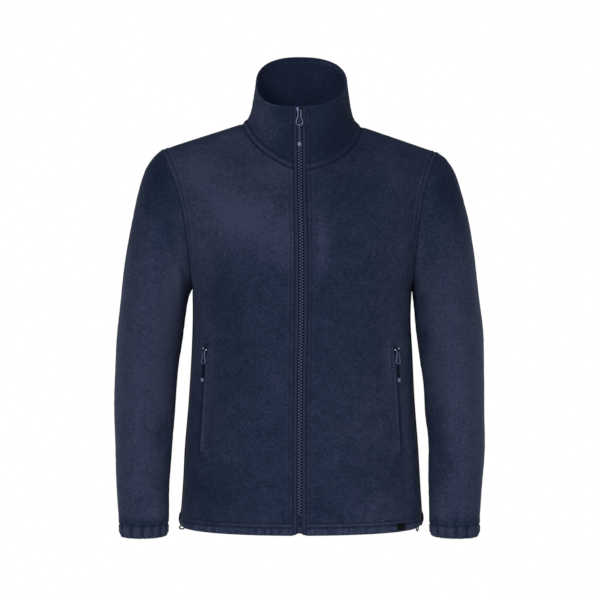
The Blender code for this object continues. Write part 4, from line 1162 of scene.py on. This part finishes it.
def make_back(seed):
    """The back in one piece, from the right armhole to the left."""
    halves = {side: HALVES[side, "back"] for side in SIDES}
    sewn = {side: sewn_normals(side, "back", half) for side, half in halves.items()}
    points, normal = (
        np.concatenate([both["right"][:, ::-1], both["left"][:, 1:]], 1) for both in (halves, sewn)
    )
    arms = [stitch_along_armhole(half, NORMALS[side, "back"]) for side, half in halves.items()]
    seams = [points[:, 0], points[:, -1], points[-1]]
    stitches = [(arm, ARMHOLE_STITCH / 2, 1.3) for arm in arms]
    relief = body_relief("back", points, normal, seams, stitches, seed)
    height = points[..., 2]
    made, _ = shell("back", points, normal, hem_layers(height), relief, height - HEM_HEIGHT)
    return stitched(made, arms, points)


CLOTH = {
    "front_right": make_front("right", 11),
    "front_left": make_front("left", 23),
    "back": make_back(37),
}
print("made", sorted(CLOTH))


# %% Sleeves
UNFOLDED = 99.0  # mm to a folded edge, on a sleeve that has none
CUFF_STITCHES = (3.0, 17.0)  # mm below the cuff's seam


def make_sleeve(side, seed):
    """A sleeve: sunk at the armhole, under the arm and at the cuff, and puckered above the cuff,
    where painted shade darkens it, deeper in bands that follow the gathers."""
    name = f"sleeve_{side}"
    points = SLEEVE_GRIDS[side]
    normal = normals(points, True, SIDES[side]["sign"])
    normal = towards(points, normal, points[0], ARM_NORMALS[side])
    to_arm, to_cuff = (distance(points, closed(points[k])) for k in (0, -1))
    away = np.minimum(to_arm, to_cuff)
    broad, fine = soft_form(name, points, normal, away, seed, (1.1, 120.0), (0.22, 16.0))
    fine -= SEAM_SINK * bell(away, SEAM_WIDTH)
    fine -= 0.6 * bell(distance(points, points[:, SLEEVE_COLUMNS // 2]), 1.5)
    phase = gather_phase(SLEEVE_TURN[None])
    gathered = 0.8 * np.exp(-to_cuff / 9) + 0.4 * np.exp(-to_cuff / 24)
    fine += gathered * (np.cos(phase) - 0.5)
    painted_shade = bell(to_cuff - 5.0, 9.0) * (1 + 0.4 * np.cos(phase + 1.0))
    relief = {"broad": broad, "fine": fine, "nap": -0.7 * painted_shade}
    return shell(name, points, normal, FLEECE, relief, np.full(away.shape, UNFOLDED), True)[0]


def make_cuff(side, seed):
    """The casing: pinched between its gathers, stitched twice, and folded at its end."""
    points = cuff_grid(side)
    normal = normals(points, True, SIDES[side]["sign"])
    turn = turns(CUFF_COLUMNS)[None]
    down, to_end = (distance(points, closed(points[k])) for k in (0, -1))
    waves = np.cos(gather_phase(turn))
    pinch = (0.5 - 0.5 * waves) ** 4 * (0.65 + 0.35 * np.sin(5 * turn + 1))
    fine = -1.7 * pinch * smooth_step(down, 0.5, 6.0) * (1 - 0.6 * smooth_step(down, 15.0, 22.0))
    fine += 1.2 * np.exp(-down / 5) * (waves - 0.5) - SEAM_SINK * bell(down, SEAM_WIDTH)
    fine += 0.6 * pucker(turn * 45 + 0 * down, seed, 6.5) * smooth_step(down, 0.5, 5.0)
    fine -= 0.8 * bell(down - CUFF_STITCHES[1], 1.4)
    # Painted light on the casing, and painted shade where it is pinched.
    relief = {"fine": fine, "nap": 0.25 - 0.7 * pinch}
    made, outer = shell(f"cuff_{side}", points, normal, CUFF_LAYERS, relief, to_end, True)
    for at in CUFF_STITCHES:
        row = outer[int(np.argmin(np.abs(down[:, 0] - at)))]
        STITCH_LINES.append((made, closed(row)))
    return made


for side, sleeve_seed, cuff_seed in (("right", 51, 81), ("left", 67, 82)):
    CLOTH[f"sleeve_{side}"] = make_sleeve(side, sleeve_seed)
    CLOTH[f"cuff_{side}"] = make_cuff(side, cuff_seed)
print("made", sorted(CLOTH))

# %% [markdown]
# ## The collar
# The collar is doubled: an outer and an inner layer meet in its rounded top edge. The seam
# allowances are pressed up into it and stitched down, which raises a band above the neck seam.

# %% Collar
COLLAR_STITCH = 10.5


def make_collar(seed):
    """The collar: a raised band over the neck seam, lower on the left, with a stitch line above
    it; folded at the mouth and beside the zip. Painted light lies on the band's right part, along
    the mouth's edge, and inside just below the mouth on the left."""
    points = COLLAR
    own = normals(points, False, -1)
    normal = towards(points, own, points[0], NECK_NORMALS)
    foot = beside(points[0], own[0], points[6], COLLAR_STITCH)
    lines = [
        beside(points[:, edge], own[:, edge], points[:, inside], ZIP_STITCH)
        for edge, inside in ((0, 8), (-1, -9))
    ]
    up, to_top = distance(points, points[0]), distance(points, points[-1])
    broad, fine = soft_form(
        "collar", points, normal, np.minimum(up, to_top), seed, (0.7, 90.0), (0.2, 14.0)
    )
    band = smooth_step(up, 1.5, 4.0) * (1 - smooth_step(up, 7.0, 9.5))
    leftward = smooth_step(points[..., 0], 5.0, 45.0)
    fine += 1.1 * band * (1 - 0.3 * leftward) - SEAM_SINK * bell(up, SEAM_WIDTH)
    fine -= (1.9 - 0.6 * leftward) * bell(distance(points, foot), 1.7)
    for line in lines:
        fine -= 0.7 * bell(distance(points, line), 1.6)
    # Painted light inside, just below the mouth on the left, and on the band and mouth outside.
    rim = 0.9 * bell(to_top - 5.0, 4.0) * smooth_step(points[..., 0], 10.0, 60.0)
    nap = 0.3 * band * (1 - leftward) + 0.6 * bell(to_top, 3.0)
    relief = {"broad": broad, "fine": fine, "nap": nap, "inside": rim}
    folded = np.min([to_top, *(distance(points, points[:, edge]) for edge in (0, -1))], axis=0)
    layers = COLLAR_LAYERS + (FLEECE - COLLAR_LAYERS) * (1 - smooth_step(up, 0.0, 8.0))
    made, _ = shell("collar", points, normal, layers, relief, folded)
    STITCH_LINES.extend([(made, line) for line in [foot] + lines])
    return made


CLOTH["collar"] = make_collar(91)
triangles = sum(2 * len(made.data.polygons) for made in CLOTH.values())
print("collar made, triangles of all cloth:", triangles)

# %% [markdown]
# ## Topstitching
# A lockstitch shows as short bars of thread with a gap between them, each bar sinking at its
# ends where the needle went through. One bar is four corners carried along four stations, fat
# in the middle and thin at the ends, and a whole line of them is one mesh.

# %% Stitch lines
STITCH_LENGTH = 3.2
STITCH_GAP = 0.7
THREAD = 0.75  # mm across; real thread is about 0.4, too fine to be drawn at this size
THREAD_RAISE = 0.12  # mm
STATIONS = table(
    "along size sink", (0.0, 0.35, 0.35), (0.2, 1.0, 0.0), (0.8, 1.0, 0.0), (1.0, 0.35, 0.35)
)


def on_cloth(made, line):
    """A line dropped onto the nearest faces of a cloth piece: points and outward normals."""
    tree = BVHTree.FromObject(made, bpy.context.evaluated_depsgraph_get())
    hits = [tree.find_nearest(Vector(p * MM)) for p in line]
    return np.array([h[0] for h in hits]) / MM, np.array([h[1] for h in hits])


def bar_quads(rings, count):
    """Quads of a number of equal bars, each made of some rings of four corners, ends shut."""
    local = [
        [4 * i + j, 4 * i + (j + 1) % 4, 4 * i + 4 + (j + 1) % 4, 4 * i + 4 + j]
        for i in range(rings - 1)
        for j in range(4)
    ]
    local += [[3, 2, 1, 0], [4 * rings - 4 + j for j in range(4)]]
    return (np.array(local)[None] + 4 * rings * np.arange(count)[:, None, None]).reshape(-1, 4)


def stitch_mesh(lines):
    """Points and quads of all bars: station rings of four corners around each bar's axis."""
    along, size, sink = (STATIONS[k][None, :, None, None] for k in ("along", "size", "sink"))
    turn = PI / 4 + turns(4)[None, None, :, None]
    points, count = [], 0
    for made, line in lines:
        path, normal = on_cloth(made, resample(line, STITCH_LENGTH + STITCH_GAP))
        ahead = unit(np.diff(path, axis=0))[:, None, None]
        up = unit(normal[:-1] + normal[1:])[:, None, None]
        side = unit(np.cross(ahead, up))
        centre = path[:-1, None, None] + ahead * along * STITCH_LENGTH + up * (THREAD_RAISE - sink)
        around = side * np.cos(turn) + up * np.sin(turn)
        points.append((centre + around * size * THREAD / 2).reshape(-1, 3))
        count += len(path) - 1
    return np.concatenate(points), bar_quads(len(STATIONS["along"]), count), count


def thread_material():
    """Spun polyester thread: a little gloss along its twist, in the cloth's own navy."""
    made, tree, shader = new_material(
        "polyester_thread_navy", Roughness=0.6, Base_Color=linear("1E253B"), Specular_IOR_Level=0.3
    )
    twist = texture(tree, "ShaderNodeTexNoise", Scale=2200.0, Detail=2.0)
    bumped(tree, shader, twist, 0.4, 0.1)
    return made


THREAD_NAVY = thread_material()
bpy.context.view_layer.update()
groups = {}
for made, line in STITCH_LINES:
    groups.setdefault(made.name.replace("cloth_", "stitches_"), []).append((made, line))
STITCHES = []
for name, lines in groups.items():
    points, quads, count = stitch_mesh(lines)
    STITCHES.append(mesh_object(name, points, quads, THREAD_NAVY))
    print(name, count, "stitches")

# %% [markdown]
# ## The zip
# A moulded zip has two woven tapes with a tooth cast around each edge at every step. The teeth
# of one side sit between those of the other. A tooth is a small block with a bevelled face, so
# one block repeated by array arithmetic makes the whole chain.

# %% Zip tapes
TAPE_THICKNESS = 0.9
TAPE_DEPTH = 0.8
TAPE_FOOT = 5.5
TAPE_TUCK = 0.7  # how far the tape goes into the fronts' folded edges
SEAM_GAP = 0.3
CHAIN_FOOT, CHAIN_TOP = -676.0, -5.0


def zip_profile(side):
    """The zip's edge in the side view, from the hem to the mouth: y and z."""
    front = HALVES[side, "front"][:, 0]
    return np.concatenate([front, COLLAR[1:, 0 if side == "right" else -1]])


def tape_material():
    """Woven polyester tape: ribs along it, and a ramp from painted shadow to its lit navy."""
    made, tree, shader = new_material(
        "woven_zip_tape_navy", Roughness=0.85, Specular_IOR_Level=0.1
    )
    ribs = texture(
        tree, "ShaderNodeTexWave", {"bands_direction": "Z"}, Scale=320.0, Distortion=0.6
    )
    nap = node(tree, "ShaderNodeAttribute", {"attribute_name": "nap"}).outputs["Fac"]
    tree.links.new(ramped(tree, nap, ("0C1120", "2A324A")), shader.inputs["Base Color"])
    bumped(tree, shader, ribs, 0.5, 0.2)
    return made


def make_tape(side, material):
    """A strip beside the zip's middle, following the edge's profile just behind the cloth. Its
    left edge tucks under the right one, and a film stiffens it below the chain."""
    edge = zip_profile(side)
    edge = edge[edge[:, 2] >= HEM_HEIGHT + TAPE_FOOT]
    back = unit(np.cross(np.gradient(edge, axis=0), (1.0, 0.0, 0.0)))
    back = back * np.sign(back[:, 1:2])
    # shade: painted shadow under and beside the chain and under the fronts' folded edges, lit tape
    # between
    strip = table(
        "reach sink shade foot",
        (SEAM_GAP / 2, 0.0, 0.2, 4.0), (1.0, -0.25, 0.2, 4.0), (3.0, 0.3, 0.0, 3.8),
        (4.4, 0.3, 0.0, 3.0), (5.2, 0.0, 0.8, 2.2), (7.0, -0.1, 1.0, 1.4), (9.0, 0.0, 0.9, 1.0),
        (10.4, 0.2, 0.3, 1.0), (ZIP_REACH + TAPE_TUCK, 0.3, 0.0, 1.0),
    )
    reach, sink = strip["reach"], strip["sink"]
    if side == "left":
        reach[0], sink[0] = -TAPE_TUCK, TAPE_THICKNESS + SEAM_GAP
    face = np.repeat(edge[:, None], len(reach), axis=1)
    face[..., 0] = SIDES[side]["sign"] * reach
    face[0, :, 2] = HEM_HEIGHT + strip["foot"]
    outer = face + back[:, None] * (TAPE_DEPTH + sink)[None, :, None]
    inner = face + back[:, None] * (TAPE_DEPTH + TAPE_THICKNESS)
    # painted sheen: the glossy film below the chain is lighter
    film = 0.5 * (1 - smooth_step(face[..., 2], CHAIN_FOOT - 3, CHAIN_FOOT))
    nap = np.tile(np.maximum(strip["shade"], film).ravel(), 2)
    points, quads = swayed(wall(outer, inner)), quads_of(*face.shape[:2])
    return mesh_object(
        f"tape_{side}", points, quads, material, side == "left", nap
    )


TAPE_NAVY = tape_material()
TAPES = {side: make_tape(side, TAPE_NAVY) for side in SIDES}
print("tapes from", HEM_HEIGHT + TAPE_FOOT, "mm up to the collar's mouth")


# %% Chain
TOOTH_PITCH = 5.0  # mm; the real pitch is about 3.1, too fine to be drawn at this size
TOOTH = {"width": 3.4, "height": 2.2, "front": 1.9, "middle": 0.55, "back": 0.9, "bevel": 0.32}
SHARP = math.radians(35)  # an edge that turns more than this is a sharp one


def tooth_block():
    """Corners of one tooth: a back, a middle and a bevelled front ring of four."""
    t, half, rings = TOOTH, TOOTH["height"] / 2, []
    for y, shrink in ((t["back"], 0.0), (-t["middle"] * t["front"], 0.0), (-t["front"], t["bevel"])):
        x0, x1, h = shrink, t["width"] - shrink, half - 0.6 * shrink
        rings += [(x0, y, -h), (x1, y, -h), (x1, y, h), (x0, y, h)]
    return np.array(rings)


def make_chain(material):
    """Both rows of teeth: the block at every pitch up each side, one side half a pitch on."""
    edge, block, parts = zip_profile("right"), tooth_block(), []
    for sign, shift in ((1, 0.0), (-1, 0.5)):
        z = np.arange(CHAIN_FOOT + shift * TOOTH_PITCH, CHAIN_TOP, TOOTH_PITCH)
        y = np.interp(z, edge[:, 2], edge[:, 1]) + TAPE_DEPTH + TAPE_THICKNESS / 2
        here = np.stack([0 * z, y, z], -1)[:, None] + block[None] * (sign, 1, 1)
        here[..., 1] += np.gradient(y, z)[:, None] * block[None, :, 2]
        parts.append(here)
    quads = [bar_quads(3, len(part)) for part in parts]
    quads[1] = quads[1][:, ::-1] + len(parts[0]) * len(block)
    points = swayed(np.concatenate(parts).reshape(-1, 3))
    made = mesh_object("zip_chain", points, np.concatenate(quads), material)
    made.data.set_sharp_from_angle(angle=SHARP)
    return made, sum(map(len, parts))


def acetal(name, code, roughness, gloss):
    """Moulded acetal, evenly coloured."""
    colour = linear(code)
    return new_material(name, Roughness=roughness, Specular_IOR_Level=gloss, Base_Color=colour)[0]


# The chain's navy acetal is lightened, a painted highlight on the teeth's bevels.
ACETAL_LIGHTENED = acetal("moulded_acetal_navy_lightened", "4E5776", 0.42, 0.25)
ACETAL_DARK = acetal("moulded_acetal_dark_navy", "232A42", 0.55, 0.2)
CHAIN, teeth = make_chain(ACETAL_LIGHTENED)
print("teeth", teeth)

# %% [markdown]
# ## The pockets
# Each front has a slanted slit with a coil zip under a raised welt. The welt is a narrow strip
# of fleece, rolled at both of its long edges, that lies on the front beside the slit. The coil
# is so fine that only its ridges show, and bar tacks close the slit's two ends.


# %% Welts and coils
WELT_ROWS, WELT_LENGTH = 70, 180
COIL_PITCH, COIL_LENGTH = 1.5, 182
COIL_MIDDLE = 0.8  # mm from the slit to the coil's middle, away from the zip
TACKS_AT = (0.0, 0.004, 0.008, 0.99, 0.995, 1.0)  # shares of the slit with a bar of thread
TACK_ENDS = (2.5, -7.5)  # mm away from the zip
TACK_STEP = 0.5  # mm


def slit_frame(side, share):
    """Points down a slit with the outward normal and the direction away from the zip."""
    slit, aside = slit_at(side, share), slit_at(side, share, 1.0)
    out = unit(np.cross(aside - slit, np.gradient(slit, axis=0)))
    return slit, out * np.sign(-out[:, 1:2]), unit(aside - slit)


def make_welt(side, seed):
    """A strip whose cross-section is a low rounded bar, swept down the slit's inner side. Its
    far half is dropped onto the cloth, and painted light lies on it where it stands high."""
    share = fine_ends(WELT_ROWS)
    line, out, flat = slit_frame(side, share)
    section = table(
        "across raise",
        (0.6, -0.3), (0.3, 0.5), (0.5, 1.2), (1.2, 1.75), (2.2, 1.9), (3.6, 1.65), (5.0, 1.25),
        (6.4, 0.8), (7.8, 0.4), (8.8, 0.1), (9.6, -0.3),
    )
    across, rise = section["across"], section["raise"][None]
    waver = 0.18 * pucker(share * WELT_LENGTH, seed, 14.0)[:, None]
    ends = smooth_step(share, 0.0, 0.015) * (1 - smooth_step(share, 0.985, 1.0))
    high = rise * ends[:, None] + waver * (rise > 0.4)
    points = line[:, None] - flat[:, None] * across[None, :, None]
    cloth, _ = on_cloth(CLOTH[f"front_{side}"], points.reshape(-1, 3))
    gap = ((cloth.reshape(points.shape) - points) * out[:, None]).sum(-1)
    points = points + out[:, None] * (gap * smooth_step(across, 1.5, 5.0))[..., None]
    both = wall(points + out[:, None] * (high + 0.15)[..., None], points - out[:, None] * 0.5)
    nap = (0.25 * high + 0.15).ravel()
    return mesh_object(
        f"welt_{side}", both, quads_of(*high.shape), FLEECE_OUT, side == "right",
        np.concatenate([nap, 0 * nap]),
    )


def make_coil(side):
    """The coil's front: a bead at every pitch, each four rings of four corners on the slit."""
    line, out, flat = slit_frame(side, np.linspace(0.0, 1.0, int(COIL_LENGTH / COIL_PITCH)))
    corners = table("across raise", (-0.5, -0.2), (1.3, 0.3), (2.2, -0.1), (1.3, -0.6))
    across, rise = (corners[k][None, :, None] for k in ("across", "raise"))
    ahead = unit(np.gradient(line, axis=0))
    rings = []
    for along, size in ((-0.5, 0.55), (-0.22, 1.0), (0.22, 1.0), (0.5, 0.55)):
        centre = line + ahead * along * COIL_PITCH + flat * COIL_MIDDLE
        ring_across = flat[:, None] * ((across - COIL_MIDDLE) * size)
        rings.append(centre[:, None] + ring_across + out[:, None] * (rise * size))
    points, quads = np.stack(rings, axis=1).reshape(-1, 3), bar_quads(len(rings), len(line))
    return mesh_object(
        f"coil_{side}", points, quads, ACETAL_DARK, side == "right"
    )


WELTS, COILS, TACKS = {}, {}, {}
for side, seed in (("right", 5), ("left", 6)):
    WELTS[side] = make_welt(side, seed)
    COILS[side] = make_coil(side)
    bpy.context.view_layer.update()
    line, _, flat = slit_frame(side, np.array(TACKS_AT))
    bars = [np.stack([p + end * f for end in TACK_ENDS]) for p, f in zip(line, flat)]
    points, quads, _ = stitch_mesh([(WELTS[side], resample(bar, TACK_STEP)) for bar in bars])
    TACKS[side] = mesh_object(f"welt_stitches_{side}", points, quads, THREAD_NAVY)
print("welts and coils on both fronts")

# %% [markdown]
# ## Hard and small parts
# Sliders and pulls are die-cast zinc, painted blue-grey, and cast parts have no sharp edges. The
# CAD solids have the right shapes, so each is copied, its loose triangles merged, and its edges
# rounded with a Bevel modifier. The cords are braided, the pull's end is moulded, and the tab
# at the hem is woven and bare.


# %% Materials of the small parts
def painted_zinc(name, code, roughness):
    """Die-cast zinc under satin paint with a faint orange peel."""
    made, tree, shader = new_material(
        name, Metallic=0.75, Roughness=roughness, Base_Color=linear(code)
    )
    peel = texture(tree, "ShaderNodeTexNoise", Scale=1400.0, Detail=2.0)
    bumped(tree, shader, peel, 0.15, 0.1)
    return made


def braid(name, dark, light, pitch):
    """Braided polyester: two crossing waves a strand wide, with painted shade where strands dip."""
    made, tree, shader = new_material(name, Roughness=0.75, Specular_IOR_Level=0.15)
    place = node(tree, "ShaderNodeTexCoord").outputs["Object"]
    strands = []
    for turn in (0.6, -0.9):
        turned = node(tree, "ShaderNodeMapping", Vector=place, Rotation=(0.0, turn, 0.0))
        wave = node(
            tree, "ShaderNodeTexWave", {"bands_direction": "DIAGONAL"},
            Vector=turned.outputs["Vector"], Scale=300 / pitch,
        )
        strands.append(wave.outputs["Fac"])
    cross = maths(tree, "MULTIPLY", *strands)
    tree.links.new(ramped(tree, cross, (dark, light)), shader.inputs["Base Color"])
    bumped(tree, shader, cross, 0.6, 0.3)
    return made


# One blue-grey paint in two copies: a darker one on the sliders, painted shade, and a lighter one on
# the pullers, painted light.
ZINC = painted_zinc("painted_zinc_blue_grey", "727A9A", 0.44)
ZINC_SHADED = painted_zinc("painted_zinc_shaded", "2B3145", 0.2)
CORD_DARK = braid("braided_cord_dark", "030716", "0A1228", 1.0)
CORD_GREY = braid("braided_strap_slate", "30374F", "4C5472", 1.0)
WOVEN_TAB = braid("woven_tab_black", "030409", "090B12", 0.6)
MOULDED_END = new_material("moulded_soft_end_grey", Roughness=0.5, Base_Color=linear("6E7690"))[0]
# Near-white metal for the pocket sliders' glints: painted highlight.
GLINT_METAL = new_material(
    "polished_zinc", Metallic=0.8, Roughness=0.32, Base_Color=linear("F4F6FC")
)[0]
print("small parts' materials ready")


# %% Rounded copies of the CAD solids
MERGED = 0.00001  # m between corners that are one
FLAT = math.radians(1)  # faces that turn less than this are one


def softened(name, cad, material, width):
    """A merged copy of a CAD node with its edges rounded to a width in millimetres."""
    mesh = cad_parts[cad].data.copy()
    shape = bmesh.new()
    shape.from_mesh(mesh)
    bmesh.ops.remove_doubles(shape, verts=shape.verts, dist=MERGED)
    bmesh.ops.dissolve_limit(shape, angle_limit=FLAT, verts=shape.verts, edges=shape.edges)
    shape.to_mesh(mesh)
    shape.free()
    mesh.materials.clear()
    mesh.materials.append(material)
    mesh.shade_smooth()
    made = linked(name, mesh)
    bevel = made.modifiers.new("rounded", "BEVEL")
    bevel.width = width * MM
    bevel.segments = 2
    bevel.limit_method = "ANGLE"
    bevel.angle_limit = SHARP
    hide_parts(cad)
    return made


SMALL = {
    "zip_slider": (ZINC_SHADED, "slider_grey", 0.35, "jacket"),
    "zip_puller": (ZINC, "slider_grey", 0.45, "zip_pull"),
    "zip_pull_cord": (CORD_GREY, "cord_grey", 0.6, "zip_pull"),
    "zip_pull_end": (MOULDED_END, "pull_end_grey", 0.8, "zip_pull"),
    "zip_box": (ACETAL_DARK, "zip_tape_navy", 0.5, "jacket"),
    "zip_pin": (ACETAL_DARK, "zip_tape_navy", 0.4, "jacket"),
}
for side in SIDES:
    pull = f"pocket_{side}_pull"
    SMALL[f"pocket_slider_{side}"] = (ZINC_SHADED, "slider_grey", 0.3, "jacket")
    SMALL[f"pocket_{side}_puller"] = (ZINC, "slider_grey", 0.4, pull)
    SMALL[f"pocket_{side}_pull_cord"] = (CORD_DARK, "cord_dark", 0.5, pull)
    SMALL[f"pocket_{side}_pull_end"] = (MOULDED_END, "pull_end_grey", 0.7, pull)
for cad, (material, slot, width, rides) in SMALL.items():
    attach(softened(f"{cad}_finished", cad, material, width), rides)
print("rounded parts", len(SMALL))

# %% [markdown]
# Each pocket slider shows two glints on its shoulders. Each is a small bead of near-white
# polished metal, a painted highlight, half sunk in the slider's face, the outer one higher up.

# %% Painted glints on the pocket sliders' shoulders
BEAD_RADIUS = 1.25
BEADS = ((4.2, 3.1), (-4.2, 1.7))  # mm away from the zip and up, from the slider's middle


def make_glints(side, material):
    """Spheres at middle + a across + b up, in the slider's own three directions."""
    line, out, flat = slit_frame(side, np.array([0.0, 0.05]))
    up, out = unit(line[0] - line[1]), out[1]
    across = np.cross(up, out)
    across = across * np.sign(across @ flat[1])
    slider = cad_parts[f"pocket_slider_{side}"].data
    plate = np.array([v.co for v in slider.vertices]) / MM - line[1]
    middle = [(plate @ way).min() / 2 + (plate @ way).max() / 2 for way in (across, up)]
    top = plate @ up > (plate @ up).max() - 0.2
    face = (plate @ out)[top].max()
    shape = bmesh.new()
    for a, b in BEADS:
        centre = line[1] + across * (middle[0] + a) + up * (middle[1] + b) + out * face
        bmesh.ops.create_icosphere(
            shape, subdivisions=2, radius=BEAD_RADIUS * MM, matrix=Matrix.Translation(centre * MM)
        )
    mesh = bpy.data.meshes.new(f"slider_shoulders_{side}")
    shape.to_mesh(mesh)
    shape.free()
    mesh.materials.append(material)
    mesh.shade_smooth()
    made = linked(mesh.name, mesh)
    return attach(made, "jacket")


for side in SIDES:
    make_glints(side, GLINT_METAL)
print("polished beads", 2 * len(BEADS))

# %% [markdown]
# ## The woven tab
# A bare woven tab is folded over the hem on the left front. It is a strip of ribbon that lies on
# the cloth: a grid dropped onto the front, raised by its own thickness, with soft long edges.

# %% Woven tab
TAB = {"near": 164.0, "far": 178.4, "low": -708.5, "high": -696.5, "thick": 0.9, "under": 1.2}
TAB_COLUMNS, TAB_ROWS = 21, 17


def make_tab(material):
    """Points over the tab's rectangle, raised by thick (1 - 0.7 u^8) (1 - 0.7 v^8) and a curl."""
    u, v = np.meshgrid(np.linspace(-1, 1, TAB_COLUMNS), np.linspace(-1, 1, TAB_ROWS))
    reach = (TAB["near"] + TAB["far"]) / 2 + u * (TAB["far"] - TAB["near"]) / 2
    height = (TAB["low"] + TAB["high"]) / 2 + v * (TAB["high"] - TAB["low"]) / 2
    smooth = front_at("left", reach, height)
    line, out = on_cloth(CLOTH["front_left"], smooth.reshape(-1, 3))
    line, out = line.reshape(smooth.shape), unit(out.reshape(smooth.shape).mean((0, 1)))
    flat = smooth + out * ((line - smooth) @ out).mean()
    lift = TAB["thick"] * (1 - 0.7 * u**8) * (1 - 0.7 * v**8) + 0.12 * np.sin(2.5 * u + 1.0)
    both = wall(flat + out * (lift + 0.5)[..., None], flat - out * TAB["under"])
    made = mesh_object("woven_tab", both, quads_of(*u.shape), material)
    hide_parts("hem_label")
    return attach(made, "jacket")


make_tab(WOVEN_TAB)
print("tab", TAB["far"] - TAB["near"], "by", TAB["high"] - TAB["low"], "mm")

# %% [markdown]
# ## The drawcord's loops
# The cord runs inside the turned-up hem and shows only as a short loop at each side seam. A loop
# is a round cord along an ellipse, worked out as a tube: a centre line, and a circle in the
# plane across it.

# %% Hem loops
HEM_LOOPS = {
    "right": {"reach": 204.5, "half_width": 4.4, "half_height": 2.7, "turned": 0.0},
    "left": {"reach": 205.0, "half_width": 2.6, "half_height": 4.2, "turned": 45.0},
}
HEM_CORD = 2.4
LOOP_RINGS, LOOP_CORNERS = 48, 10


def make_loop(side, material):
    """centre = ellipse in an upright plane; point = centre + r (cos b outward + sin b sideways)."""
    loop, sign = HEM_LOOPS[side], SIDES[side]["sign"]
    a, b = turns(LOOP_RINGS)[:, None], turns(LOOP_CORNERS)[None]
    turned = math.radians(loop["turned"])
    plane = np.array([math.cos(turned), math.sin(turned), 0.0])
    up = np.array([0.0, 0.0, 1.0])
    aside = np.cross(plane, up)
    top = HEM_HEIGHT - SEAM_GAP - HEM_CORD / 2
    centre = np.array([sign * loop["reach"], 0.0, top - loop["half_height"]])
    wide, high = loop["half_width"], loop["half_height"]
    line = centre + wide * np.cos(a) * plane + high * np.sin(a) * up
    outward = unit(np.cos(a) / wide * plane + np.sin(a) / high * up)
    points = line[:, None] + HEM_CORD / 2 * (
        np.cos(b)[..., None] * outward[:, None] + np.sin(b)[..., None] * aside
    )
    number = np.arange(LOOP_RINGS * LOOP_CORNERS).reshape(LOOP_RINGS, LOOP_CORNERS)
    quads = grid_faces(np.pad(number, (0, 1), mode="wrap"))
    made = mesh_object(f"hem_loop_{side}", points.reshape(-1, 3), quads, material)
    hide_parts(f"hem_cord_{side}")
    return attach(made, "jacket")


for side in SIDES:
    make_loop(side, CORD_DARK)
print("hem loops made")

# %% [markdown]
# ## What rides on what
# Everything sewn rides on the jacket's body, and each cloth piece stands for its CAD solid.

# %% Ride and replace
for side in SIDES:
    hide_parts(f"zip_tape_{side}")
    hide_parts(f"pocket_welt_{side}")
    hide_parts(f"pocket_coil_{side}")
for name, made in CLOTH.items():
    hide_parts(name)
sewn = [*CLOTH.values(), *STITCHES, *TAPES.values(), *WELTS.values(), *COILS.values()]
for made in [*sewn, *TACKS.values(), CHAIN]:
    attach(made, "jacket")
